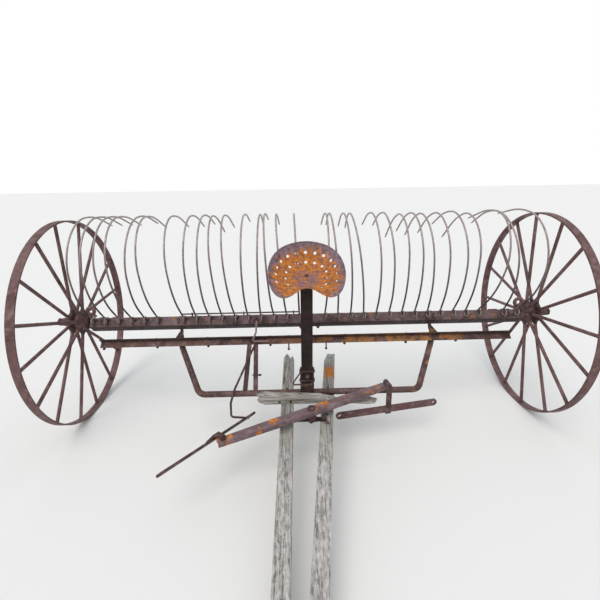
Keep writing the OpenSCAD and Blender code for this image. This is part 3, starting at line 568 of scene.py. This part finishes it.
for node, width in (
    ("front_bar", 0.0016), ("hanger_left", 0.0018), ("hanger_right", 0.0018),
    ("axle_brackets", 0.0020), ("hinge_lugs", 0.0015), ("trip_boss", 0.0015),
    ("tongue_iron", 0.0018), ("seat_standard", 0.0018), ("seat_spring", 0.0020),
    ("seat_clamps", 0.0012), ("lever_post_outer", 0.0015), ("lever_post_inner", 0.0015),
    ("tree_left", 0.0030), ("tree_right", 0.0030),
):
    softened(node, width)
softened("rake_head", 0.0020, shortest=0.02)

# %% [markdown]
# ## The evener
# The evener turns on the king bolt and lies slantwise on the tongue's slope. It is narrower than the CAD bar and
# tapers to both ends, so its copy is cut across in ten places and drawn in there, while the strip with the pin holes
# keeps its width. The wear plate under it is drawn in too.

# %% The evener's taper
king = next(Vector(row["pos_m"]) for row in frame["record"]["behaviour"]["joints"] if row["name"] == "evener_turn")
SLOPE = Matrix.Rotation(TONGUE_SLOPE, 3, "X")
EVENER_LIE = SLOPE @ Matrix.Rotation(math.radians(24.3), 3, "Z")
EVENER_HALF, HOLE_STRIP = 0.559, 0.012
TAPER_FROM, MIDDLE_WIDTH, END_WIDTH = 0.42, 0.58, 0.30
PLATE_ENDS, BOLT_ROOM = (-0.135, 0.085), 0.050


def drawn_in(bm):
    """Narrows the evener by shares of its width beyond the strip with the holes, from its middle to its ends."""
    for share in (TAPER_FROM, 0.55, 0.68, 0.81, 0.92):
        for side in (-1, 1):
            sliced(bm, king + EVENER_LIE @ Vector((side * share * EVENER_HALF, 0, 0)), EVENER_LIE.col[0])
    for v in bm.verts:
        here = EVENER_LIE.transposed() @ (v.co - king)
        reach = max(0.0, abs(here.x) / EVENER_HALF - TAPER_FROM) / (1 - TAPER_FROM)
        width = MIDDLE_WIDTH + (END_WIDTH - MIDDLE_WIDTH) * reach
        beyond = max(0.0, abs(here.y) - HOLE_STRIP)
        here.y = math.copysign(min(abs(here.y), HOLE_STRIP) + beyond * width, here.y)
        v.co = king + EVENER_LIE @ here


def narrow_plate(bm):
    """The wear plate under the evener reaches only to the middle of each timber, and is half as deep."""
    fore = SLOPE.col[1]
    for v in bm.verts:
        for end in PLATE_ENDS:
            if v.co.x / end > 1:
                v.co.x = end + (v.co.x - end) * 0.2
        if abs(v.co.x - king.x) > BOLT_ROOM:
            v.co -= fore * (v.co - king).dot(fore) * 0.5


softened("evener", 0.0030, shaped=drawn_in)
softened("king_bolt", 0.0015, shaped=narrow_plate)

# %% [markdown]
# ## Bars drawn along a path
# Teeth, rods and pipe are round bars bent in a few places. Each is a circle that is extruded from point to point,
# and turned at each point by the change of direction, so that the section never twists.

# %% Sweeping a round bar


def stand(place, direction):
    """A matrix that stands a piece at a place, with its Z axis along a direction."""
    return Matrix.Translation(place) @ Vector(direction).to_track_quat("Z", "Y").to_matrix().to_4x4()


def edges_at(corners):
    """The edges that meet some corners, each once and in a steady order."""
    return list(dict.fromkeys(e for v in corners for e in v.link_edges))


def grown_ring(bm, edges):
    """Extrudes a ring of edges, and gives back the new ring's corners and edges, and the faces between."""
    made = bmesh.ops.extrude_edge_only(bm, edges=edges)["geom"]
    corners = [g for g in made if isinstance(g, bmesh.types.BMVert)]
    rim = [g for g in made if isinstance(g, bmesh.types.BMEdge) and g.is_boundary]
    return corners, rim, [g for g in made if isinstance(g, bmesh.types.BMFace)]


def heading_at(path, i):
    """Direction of a path at one of its points, halfway between the stretches that meet there."""
    before = (path[i] - path[i - 1]).normalized() if i > 0 else None
    after = (path[i + 1] - path[i]).normalized() if i < len(path) - 1 else None
    if before is None or after is None:
        return before or after
    return (before + after).normalized()


def sweep(bm, path, radius, sides, taper=None):
    """Adds a round bar along a path. taper gives a share of the radius for some of the last points."""
    before = heading_at(path, 0)
    ring = bmesh.ops.create_circle(bm, cap_ends=False, segments=sides, radius=radius)["verts"]
    edges = edges_at(ring)
    bmesh.ops.transform(bm, matrix=stand(path[0], before), verts=ring)
    first, wall = edges, []
    for i in range(1, len(path)):
        ring, edges, faces = grown_ring(bm, edges)
        wall += faces
        after = heading_at(path, i)
        bmesh.ops.rotate(bm, cent=path[i - 1], matrix=before.rotation_difference(after).to_matrix(), verts=ring)
        bmesh.ops.translate(bm, vec=path[i] - path[i - 1], verts=ring)
        if taper and i in taper:
            size = Matrix.Translation(path[i]) @ Matrix.Scale(taper[i], 4) @ Matrix.Translation(-path[i])
            bmesh.ops.transform(bm, matrix=size, verts=ring)
        before = after
    ends = bmesh.ops.holes_fill(bm, edges=first + edges, sides=0)["faces"]
    bmesh.ops.recalc_face_normals(bm, faces=wall + ends)


def bent(points, radius, step=8):
    """A list of points with each corner rounded by an arc, in steps of some degrees."""
    path = [points[0]]
    for i in range(1, len(points) - 1):
        going = (points[i] - points[i - 1]).normalized()
        leaving = (points[i + 1] - points[i]).normalized()
        turn = going.angle(leaving)
        inward = (leaving - going * leaving.dot(going)).normalized()
        start = points[i] - going * radius * math.tan(turn / 2)
        count = max(1, round(math.degrees(turn) / step))
        for k in range(count + 1):
            a = turn * k / count
            path.append(start + going * radius * math.sin(a) + inward * radius * (1 - math.cos(a)))
    return path + [points[-1]]


print("sweep and bent are ready")

# %% [markdown]
# ## The spring teeth
# Each tooth is one bar. It comes up through the head, makes one turn of a coil that lets it spring, and rises in a
# curve that is tight at the shoulder and almost straight at the point. Thirty-one are left on thirty-four places,
# and years of stones have bent each a little differently, so a table gives every tooth its lean and its opening.

# %% Where the teeth stand
TOOTH_PITCH, TOOTH_PLACES = 0.0892, 34
HEAD_FORE, HEAD_DROP, HEAD_T, TOOTH_SEAT = 0.075, 0.017, 0.008, 0.052
TOOTH_R, COIL_R, COIL_STEP = 0.00575, 0.022, 0.0135
COIL_OFF = COIL_R + TOOTH_R + 0.0025
TOOTH_TAIL = COIL_OFF + HEAD_T + 0.016
COIL_RISE, LEAN_FROM = 0.040, 0.060
ROOT2 = math.sqrt(2)

# Tooth place, lean to the right in degrees, opening of the coil in degrees
teeth = (
    (1, 5.4, 2), (2, 4.1, 2), (3, 2.9, 2.5), (4, 0.4, 2), (5, 4.2, 3.5), (6, -0.2, -1),
    (8, -1, -1), (9, 1.8, -1), (10, 1.4, 1.5), (11, -2.2, -7), (12, -2.7, -2.5), (13, 1, 4),
    (14, 1.7, -1.5), (15, -2.9, 6), (16, -4.3, 0), (17, -2, 0),
    (19, 0.5, -1), (20, -4.7, -1.5), (21, -4.4, -3), (22, -8.2, -5), (23, -4, -2), (24, -4.8, -3),
    (25, -1.4, -14.5), (26, -3, -9), (27, -4.6, -13), (28, -3.5, -11), (29, -3.8, -2.5), (30, 0.2, -15.5),
    (31, 3.5, 3.5), (33, -9.4, -2), (34, -3.6, 9),
)
# Length along the tooth, turn to the rear in degrees, sideways step, for the tooth above its coil
TOOTH_BENDS = (
    (0.065, 0, 0), (0.329, 31.5, 0), (0.328, 72, 0), (0.153, 32.5, 0), (0.244, 21, 0),
    (0.135, 0, 0), (0.030, 0, 0), (0.015, 0, 0),
)


def on_head(along, off):
    """Y and Z on the head's upper flange, from the axle line: a distance up the flange and off its outer face."""
    return -HEAD_FORE + (along - off) / ROOT2, -HEAD_DROP + (along + off) / ROOT2


def tooth_x(place):
    """How far across the rake a tooth's place is."""
    return (place - (TOOTH_PLACES + 1) / 2) * TOOTH_PITCH


print(len(teeth), "teeth from x", round(tooth_x(1), 3), "to", round(tooth_x(TOOTH_PLACES), 3))

# %% A tooth's route


def route(rows, start, heading, step):
    """Points in Y and Z from rows of length, turn to the rear in degrees, and step sideways."""
    points = [Vector(start)]
    for length, turn, aside in rows:
        count = 1 if turn == 0 else math.ceil(abs(turn) / step)
        origin, angle = points[-1], math.radians(turn)
        for k in range(1, count + 1):
            now = heading - angle * k / count
            if turn == 0:
                along = length * Vector((0, math.cos(heading), math.sin(heading)))
            else:
                chord = Vector((0, math.sin(heading) - math.sin(now), math.cos(now) - math.cos(heading)))
                along = length / angle * chord
            points.append(origin + along + Vector((aside * k / count, 0, 0)))
        heading -= angle
    return points


def tooth_route(place, lean, opening):
    """A tooth's points, from its tail behind the head, round the coil and up to its tip."""
    root_y, root_z = on_head(TOOTH_SEAT, COIL_OFF)
    start = (COIL_STEP / 2, root_y + TOOTH_TAIL / ROOT2, root_z - TOOTH_TAIL / ROOT2)
    out_of_head = math.radians(135)
    coil = route([(TOOTH_TAIL, 0, 0), (math.tau * COIL_R, -360, -COIL_STEP)], start, out_of_head, 20)
    rise = route(((COIL_RISE, -opening, 0), *TOOTH_BENDS), coil[-1], out_of_head, 6)
    points = []
    for p in coil[:-1] + rise:
        high = max(0.0, p.z - root_z)
        side = high * math.tan(math.radians(lean)) * min(1.0, high / LEAN_FROM)
        points.append(by_axle(tooth_x(place) + p.x + side, p.y, p.z))
    return points


for side, node in ((-1, "teeth_left"), (1, "teeth_right")):
    bm = bmesh.new()
    for place, lean, opening in teeth:
        if tooth_x(place) * side > 0:
            points = tooth_route(place, lean, opening)
            sweep(bm, points, TOOTH_R, sides=12, taper={len(points) - 2: 0.85, len(points) - 1: 0.6})
    stands_for(node, "spring_" + node, bm)

# %% [markdown]
# ## Pipe and rods
# The draft bow, the foot rest, the foot lever and the latch link are round bars too. Their corners are the same
# as in the CAD model, with more sides and smoother bends; only the bow's top ends are shorter.

# %% Pipe and rods
BOW_X, BOW_Y, BOW_TOP, BOW_BEND, BOW_KNEE = 0.8664, -0.1197, 0.628, 0.544, 0.700
BOW_FOOT_Y, BOW_FOOT = -0.420, 0.3404
REST_Y, REST_FORE = -0.4691, -0.4991


def round_bar(node, radius, bend, corners):
    """A round bar that stands for a CAD node; its corners are across, from the axle line, and above the ground."""
    bm = bmesh.new()
    sweep(bm, bent([Vector((x, axle_y + y, z)) for x, y, z in corners], bend, step=6), radius, sides=20)
    stands_for(node, "round_" + node, bm)


bow_arm = [(BOW_X, BOW_Y, BOW_TOP), (BOW_X, BOW_Y, BOW_BEND), (BOW_KNEE, BOW_FOOT_Y, BOW_FOOT)]
round_bar("draft_bow", 0.0200, 0.062, [(-x, y, z) for x, y, z in bow_arm] + bow_arm[::-1])
round_bar("foot_rest", 0.0050, 0.010, (
    (-0.035, REST_Y, 0.508), (-0.059, REST_Y, 0.502), (-0.111, REST_FORE, 0.440), (0.013, REST_FORE, 0.438),
    (0.013, REST_Y, 0.438),
))
round_bar("foot_lever", 0.0070, 0.020, (
    (-0.354, -0.162, 0.6076), (-0.358, -0.196, 0.5736), (-0.470, -0.4472, 0.3904), (-0.502, -0.4472, 0.2904),
    (-0.508, -0.4352, 0.180), (-0.392, -0.4392, 0.172),
))
round_bar("latch_link", 0.0060, 0.012, (
    (-0.346, -0.101, 0.712), (-0.346, -0.178, 0.660), (-0.374, -0.188, 0.5990), (-0.268, -0.188, 0.5990),
))

# %% [markdown]
# ## Spokes, hubs and pawls
# Each wheel has sixteen round spokes, by turns from its outer and its inner hub flange. The wheels stand as they
# stopped, so the left one is turned a few degrees and the right one more. A hub is a stepped outline that is spun
# round the axle. At each end of the head a pawl stands up as a round eye that faces the front.

# %% Spokes
SPOKES, SPOKE_R = 16, 0.0110
FLANGE_X, FLANGE_R = 0.028, 0.072
SPOKE_RIM_X, RIM_IN = 0.00625, 0.0105
WHEEL_TURNS = {-1: 4, 1: 15}


def spoke_ends(side, index):
    """The hub end and the rim end of a spoke, and its direction outwards from the hub."""
    a = math.radians(index * 360 / SPOKES + WHEEL_TURNS[side])
    out = Vector((0, -math.sin(a), math.cos(a)))
    lean = 1 if index % 2 == 0 else -1
    hub = by_axle(side * (track_x + lean * FLANGE_X), 0, 0) + out * FLANGE_R
    rim = by_axle(side * (track_x + lean * SPOKE_RIM_X), 0, 0) + out * (tyre_r - RIM_IN)
    return hub, rim, out


for side, node in ((-1, "spokes_left"), (1, "spokes_right")):
    bm = bmesh.new()
    for index in range(SPOKES):
        hub, rim, out = spoke_ends(side, index)
        sweep(bm, [hub, hub.lerp(rim, 0.03), hub.lerp(rim, 0.5), rim], SPOKE_R, sides=14)
    stands_for(node, "round_" + node, bm)

# %% Hubs
# Distance outwards from the rim's middle, radius
HUB_OUTLINE = (
    (-0.087, 0.0185), (-0.087, 0.046), (-0.073, 0.052), (-0.049, 0.072), (-0.039, 0.080), (-0.017, 0.080),
    (-0.009, 0.050), (0.009, 0.050), (0.017, 0.078), (0.039, 0.078), (0.049, 0.039), (0.078, 0.031),
    (0.118, 0.025), (0.118, 0.0185),
)
for side, node in ((-1, "hub_left"), (1, "hub_right")):
    bm = bmesh.new()
    line = [bm.verts.new(by_axle(side * (track_x + x), 0, r)) for x, r in HUB_OUTLINE]
    for k in range(len(line)):
        bm.edges.new((line[k - 1], line[k]))
    rounded(bm, line[1:-1], 0.0025, segments=3, affect="VERTICES")
    bmesh.ops.spin(
        bm, geom=bm.verts[:] + bm.edges[:], cent=by_axle(0, 0, 0), axis=(1, 0, 0), angle=math.tau,
        steps=48, use_merge=True,
    )
    bmesh.ops.recalc_face_normals(bm, faces=bm.faces)
    stands_for(node, "turned_" + node, bm)

# %% Pawls
PAWL_Y, EYE_R = -0.0185, 0.024
for side, node in ((-1, "pawl_left"), (1, "pawl_right")):
    bm = bmesh.new()
    foot, eye = by_axle(side * 1.470, PAWL_Y, 0.0360), by_axle(side * 1.500, PAWL_Y, 0.0820)
    turns = [math.radians(15 * k) for k in range(25)]
    sweep(bm, [eye + Vector((EYE_R * math.cos(a), 0, EYE_R * math.sin(a))) for a in turns], 0.0120, sides=14)
    sweep(bm, [foot, foot.lerp(eye, 0.25), foot.lerp(eye, 0.55)], 0.0115, sides=12, taper={1: 0.9, 2: 0.75})
    stands_for(node, "round_" + node, bm)

# %% [markdown]
# ## Weathered timbers
# Old timber is never smooth. Each timber's copy is cut into many slices, its long edges are rounded, and its
# surface is pressed in along the grain by noise. At its ends the wood is broken back into splinters.

# %% Furred timber
SLICE, FUR = 0.028, 0.0035
CUTS = (-0.027, -0.017, -0.006, 0.005, 0.016, 0.026)


def furred(node, axis, reach):
    """Roughens a timber that runs along X (0) or Y (1); reach holds the splinters' depth at its + and - ends."""
    bm = merged_copy(node)

    def end(sign):
        """The middle of the corners at the timber's + or - end."""
        far = max(v.co[axis] * sign for v in bm.verts)
        near = [v.co.copy() for v in bm.verts if v.co[axis] * sign > far - 0.06]
        return sum(near, Vector()) / len(near)

    first, last = end(1), end(-1)
    along = (last - first).normalized()
    length = (last - first).length
    side = along.cross(Vector((0, 0, 1))).normalized()
    up = side.cross(along)
    slices = round(length / SLICE)
    for k in range(1, slices):
        sliced(bm, first + along * length * k / slices, along)
    for offset in CUTS:
        sliced(bm, first + side * offset, side)
        sliced(bm, first + up * offset, up)
    sharp = [e for e in bm.edges if e.is_manifold and e.calc_face_angle() > math.radians(50)]
    rounded(bm, sharp, 0.004, clamp=True)
    bm.normal_update()
    seed = sum(ord(letter) for letter in node)
    for v in bm.verts:
        here = v.co - first
        x, y, z = here.dot(side), here.dot(up), here.dot(along)
        grain = noise.noise(Vector((x * 75 + seed, y * 75, z * 2.4)))
        wane = noise.noise(Vector((x * 12, y * 12 + seed, z * 6)))
        v.co -= v.normal * FUR * (max(0.0, grain) + 0.6 * max(0.0, wane))
        broken = min(1.0, max(0.0, 0.45 + 1.1 * noise.noise(Vector((x * 38, y * 38, seed)))))
        for depth, gone, back in ((reach[0], z, 1), (reach[1], length - z, -1)):
            if depth and gone < depth:
                v.co += along * back * (depth - max(0.0, gone)) * 0.85 * broken
    stands_for(node, "furred_" + node, bm, sharp=50)
    print(node, "is cut into", slices, "slices")


furred("tongue_left", 1, (0.13, 0))
furred("tongue_right", 1, (0.16, 0))
furred("cross_board", 0, (0.10, 0.05))

# %% [markdown]
# ## The pan seat
# The pan was pressed from sheet, punched with two rows of holes, and its edge was rolled over. Its outline is a
# short table of places on the left half, mirrored to the right, with a smooth curve drawn through them. The sheet
# grows inwards from that edge ring by ring; the corners where holes belong are bevelled away and made round.

# %% The seat's outline
SEAT_HALF_W, SEAT_FRONT, SEAT_BACK, SEAT_RIM, SEAT_DISH = 0.210, 0.200, 0.175, 0.113, 2.8
# Share across, share along, share of the rim's height, from the notch in front round to the back
SEAT_EDGE = (
    (0, 0.52, 0.04), (0.14, 0.57, 0.05), (0.29, 0.70, 0.06), (0.43, 0.85, 0.08), (0.60, 0.95, 0.12),
    (0.79, 0.88, 0.20), (0.93, 0.63, 0.33), (1, 0.26, 0.48), (0.98, -0.12, 0.60), (0.88, -0.48, 0.73),
    (0.66, -0.79, 0.86), (0.35, -0.95, 0.96), (0, -1, 1),
)
HALF_WAY = len(SEAT_EDGE) - 1


def edge_row(i):
    """A row by its number round the whole edge, where the second half is the first one mirrored."""
    i %= 2 * HALF_WAY
    across, lengthwise, height = SEAT_EDGE[min(i, 2 * HALF_WAY - i)]
    return Vector((across if i <= HALF_WAY else -across, lengthwise, height))


def seat_place(step, t):
    """A place on the sheet: a step round the smooth curve, and a share t of the way out from the middle."""
    i = math.floor(step)
    f = step - i
    a, b, c, d = (edge_row(i + k) for k in (-1, 0, 1, 2))
    share = b + f / 2 * ((c - a) + f * ((2 * a - 5 * b + 4 * c - d) + f * (3 * b - a - 3 * c + d)))
    return Vector((
        -SEAT_HALF_W * share.x * t, (-SEAT_FRONT if share.y > 0 else -SEAT_BACK) * share.y * t,
        SEAT_RIM * share.z * t ** SEAT_DISH,
    ))


print("seat outline of", len(SEAT_EDGE), "rows")

# %% The seat's sheet
SEAT_RINGS = (1, 0.90, 0.80, 0.68, 0.56, 0.42, 0.28, 0.14)
HOLE_RINGS, HOLE_R, SEAT_T = (0.80, 0.56), 0.0095, 0.005
HALF_RING = 24


def spread(j, start, back):
    """Corner j's step round the outline: half of the corners share the steps of the back, and half the rest."""
    front = 2 * HALF_WAY - back
    return start + (back / HALF_RING * j if j <= HALF_RING else back + front / HALF_RING * (j - HALF_RING))


def seat_step(j, t):
    """Where corner j of a ring stands: even corners of the back half meet the holes of the nearest row."""
    mix = min(1.0, max(0.0, (HOLE_RINGS[0] - t) / (HOLE_RINGS[0] - HOLE_RINGS[1])))
    return spread(j, 6.5, 11) * (1 - mix) + spread(j, 4.5, 15) * mix


bm = bmesh.new()
ring = bmesh.ops.create_circle(bm, cap_ends=False, segments=2 * HALF_RING, radius=0.2)["verts"]
edges = edges_at(ring)
corner = {v: j for j, v in enumerate(ring)}
holes = []
for t in SEAT_RINGS:
    if t < 1:
        before = set(ring)
        ring, edges, faces = grown_ring(bm, edges)
        for v in ring:
            corner[v] = next(corner[e.other_vert(v)] for e in v.link_edges if e.other_vert(v) in before)
    for v in ring:
        v.co = seat_place(seat_step(corner[v], t), t)
    if t in HOLE_RINGS:
        holes += [v for v in ring if corner[v] <= HALF_RING and corner[v] % 2 == 0]
bmesh.ops.holes_fill(bm, edges=edges, sides=0)
print("sheet of", len(bm.faces), "faces, with", len(holes), "corners for holes")

# %% Punched holes and rolled edge
middles = [v.co.copy() for v in holes]
punched = rounded(bm, holes, HOLE_R, segments=3, affect="VERTICES")
bmesh.ops.delete(bm, geom=punched, context="FACES")
for middle in middles:
    for v in bm.verts:
        if v.is_boundary and 0 < (v.co - middle).length < HOLE_R * 1.3:
            v.co = middle + (v.co - middle).normalized() * HOLE_R
bmesh.ops.recalc_face_normals(bm, faces=bm.faces)
if sum(f.normal.z for f in bm.faces) < 0:
    bmesh.ops.reverse_faces(bm, faces=bm.faces)
bmesh.ops.solidify(bm, geom=bm.faces[:], thickness=SEAT_T)
tilt = Matrix.Translation(SEAT_AT) @ Matrix.Rotation(SEAT_TILT, 4, "X")
bmesh.ops.transform(bm, matrix=tilt, verts=bm.verts)
rolled = [tilt @ (seat_place(k / 4, 1) - Vector((0, 0, 0.003))) for k in range(8 * HALF_WAY + 1)]
sweep(bm, rolled, 0.0040, sides=10)
stands_for("seat", "pan_seat", bm)

# %% [markdown]
# ## Bolts, nuts and collars
# Small fittings hold the rake together. A turned disc makes washers, collars and round heads, and with six sides
# it makes nuts. Each is stood on the surface that it holds.

# %% Discs, nuts and round heads


def disc(bm, lie, radius, low, high, sides=16, top=None, soft=0.0008):
    """A turned piece from one height to another, with its top edge rounded; top is its radius there."""
    made = bmesh.ops.create_cone(
        bm, cap_ends=True, segments=sides, radius1=radius, radius2=top or radius, depth=high - low,
        matrix=lie @ Matrix.Translation((0, 0, (low + high) / 2)),
    )["verts"]
    crown = lie @ Vector((0, 0, high))
    upward = lie.to_3x3() @ Vector((0, 0, 1))
    rounded(bm, [e for e in edges_at(made) if all(abs((v.co - crown).dot(upward)) < 1e-5 for v in e.verts)], soft)


def nut(bm, place, direction, size):
    """A washer, a nut and the end of its bolt; size is the nut's radius."""
    lie = stand(place, direction)
    disc(bm, lie, size * 1.25, -0.0005, size * 0.22)
    disc(bm, lie, size, size * 0.22, size * 1.1, sides=6, soft=size * 0.12)
    disc(bm, lie, size * 0.52, size * 1.0, size * 1.5, sides=12)


def round_head(bm, place, direction, size=0.011):
    """The low domed head of a rivet or a carriage bolt."""
    disc(bm, stand(place, direction), size, -0.0005, size * 0.5, sides=20, top=size * 0.62, soft=size * 0.18)


def fittings(name, like, make):
    """One piece of small fittings, finished as castings, with the body of a CAD node."""
    bm = bmesh.new()
    make(bm)
    finished_piece(name, bm, finish_casting, body_of[like])


print("disc, nut and round_head are ready")

# %% Fittings of the head and the front bar
BRACKET_PLACES = (-16, -10, 10, 16)
# Distance across, how far the bolt hangs below the bar
BAR_BOLTS = (
    (-1.38, 0.030), (-1.02, 0.026), (-0.675, 0.026), (-0.253, 0.028), (-0.128, 0.062),
    (0.128, 0.062), (0.253, 0.028), (0.675, 0.030), (1.02, 0.026),
)


def place_on_head(x, along, off, flange=1):
    """A place on the head's upper flange, or for flange -1 on its lower one."""
    y, z = on_head(along, off)
    return by_axle(x, y, z if flange > 0 else -2 * HEAD_DROP - z)


def head_fittings(bm):
    """A collar and a nut for every tooth, the brackets' rivets, and two nuts in the middle."""
    for place, _, _ in teeth:
        x = tooth_x(place) + COIL_STEP / 2
        disc(bm, stand(place_on_head(x, TOOTH_SEAT, 0), (0, -1, 1)), 0.0125, -0.0005, 0.0035)
        nut(bm, place_on_head(x, TOOTH_SEAT, -HEAD_T), (0, 1, -1), 0.0095)
    for place in BRACKET_PLACES:
        for along in (0.020, 0.044):
            round_head(bm, place_on_head(place * TOOTH_PITCH, along, 0), (0, -1, 1))
        round_head(bm, place_on_head(place * TOOTH_PITCH, 0.034, 0, -1), (0, -1, -1))
    for x in (-0.040, 0.080):
        nut(bm, place_on_head(x, 0.058, 0, -1), (0, -1, -1), 0.012)


def bar_fittings(bm):
    """Bolts that hang below the bar with their nuts, and round heads on its upper flange."""
    low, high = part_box("front_bar")
    corner = Vector((0, high.y, (low.z + high.z) / 2))
    for x, hang in BAR_BOLTS:
        lie = stand(corner + Vector((x, -0.0240, -0.0200)), (0, 0, -1))
        disc(bm, lie, 0.0045, -0.004, hang, sides=12)
        disc(bm, lie, 0.0095, hang - 0.012, hang - 0.004, sides=6)
        round_head(bm, corner + Vector((x, -0.0240, 0.0240)), (0, 1, 1), 0.009)


fittings("head_nuts_and_collars", "rake_head", head_fittings)
fittings("bar_bolts", "front_bar", bar_fittings)

# %% Collars of the spokes


def collars(side):
    """Gives a function that makes the collars at both ends of one wheel's spokes."""
    def make(bm):
        for index in range(SPOKES):
            hub, rim, out = spoke_ends(side, index)
            disc(bm, stand(rim + out * 0.0008, -out), 0.0160, -0.0003, 0.0080, top=0.0125)
            disc(bm, stand(hub + out * 0.0075, out), 0.0150, -0.0005, 0.0100, top=0.0125)
    return make


fittings("spoke_collars_left", "rim_left", collars(-1))
fittings("spoke_collars_right", "rim_right", collars(1))

# %% Fittings of the tongue, the seat and the lever
TONGUE_Z = 0.34068
SADDLE = ((0.027, -0.034), (0.027, 0.026), (-0.027, 0.026), (-0.027, -0.034))


def on_tongue(x, fore, height):
    """A place on the tongue's own slope, from the axle line forwards and up from its middle plane."""
    return Vector((x, axle_y, TONGUE_Z)) + SLOPE @ Vector((0, -fore, height))


def tongue_fittings(bm):
    """The bow's two saddles, and the bolt heads of the tongue and of its cross board."""
    for x in (-0.140, 0.119):
        corners = [Vector((x, axle_y + BOW_FOOT_Y + y, BOW_FOOT + z)) for y, z in SADDLE]
        sweep(bm, bent(corners, 0.024), 0.0042, sides=10)
    for x in (-0.150, 0.095):
        for fore in (0.615, 0.685):
            round_head(bm, on_tongue(x, fore, 0.046), SLOPE @ Vector((0, 0, 1)), 0.010)
    for x in (-0.190, -0.120, 0.120):
        round_head(bm, on_tongue(x, 0.507, 0.058), SLOPE @ Vector((0, -1, 0)), 0.009)


def seat_fittings(bm):
    """The rivet in the dish, the clamps' nuts, and the standard's nut."""
    round_head(bm, SEAT_AT + Vector((0, 0, 0.0002)), tilt.to_3x3() @ Vector((0, 0, 1)), 0.013)
    clamp_low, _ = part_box("seat_clamps")
    for z in (0.444, 0.506):
        for x in (-0.053, 0.023):
            nut(bm, Vector((x, clamp_low.y, z)), (0, -1, 0), 0.0060)
    standard_low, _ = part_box("seat_standard")
    nut(bm, Vector((SEAT_AT.x, standard_low.y - 0.009, 0.474)), (0, -1, 0), 0.012)


def lever_fittings(bm):
    """The bolt through the inner lever post, with its nut."""
    low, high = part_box("lever_post_inner")
    foot, top = Vector((low.x, low.y, low.z)), Vector((low.x, high.y, high.z))
    middle = (foot * 0.70 + top * 0.30) + Vector(((high.x - low.x) * 0.5, 0, 0))
    lie = stand(middle, (1, 0, 0))
    disc(bm, lie, 0.0045, -0.020, 0.040, sides=12)
    disc(bm, lie, 0.0090, 0.022, 0.031, sides=6)


fittings("tongue_bolts", "king_bolt", tongue_fittings)
fittings("seat_bolts", "seat_clamps", seat_fittings)
fittings("lever_bolt", "lever_post_inner", lever_fittings)
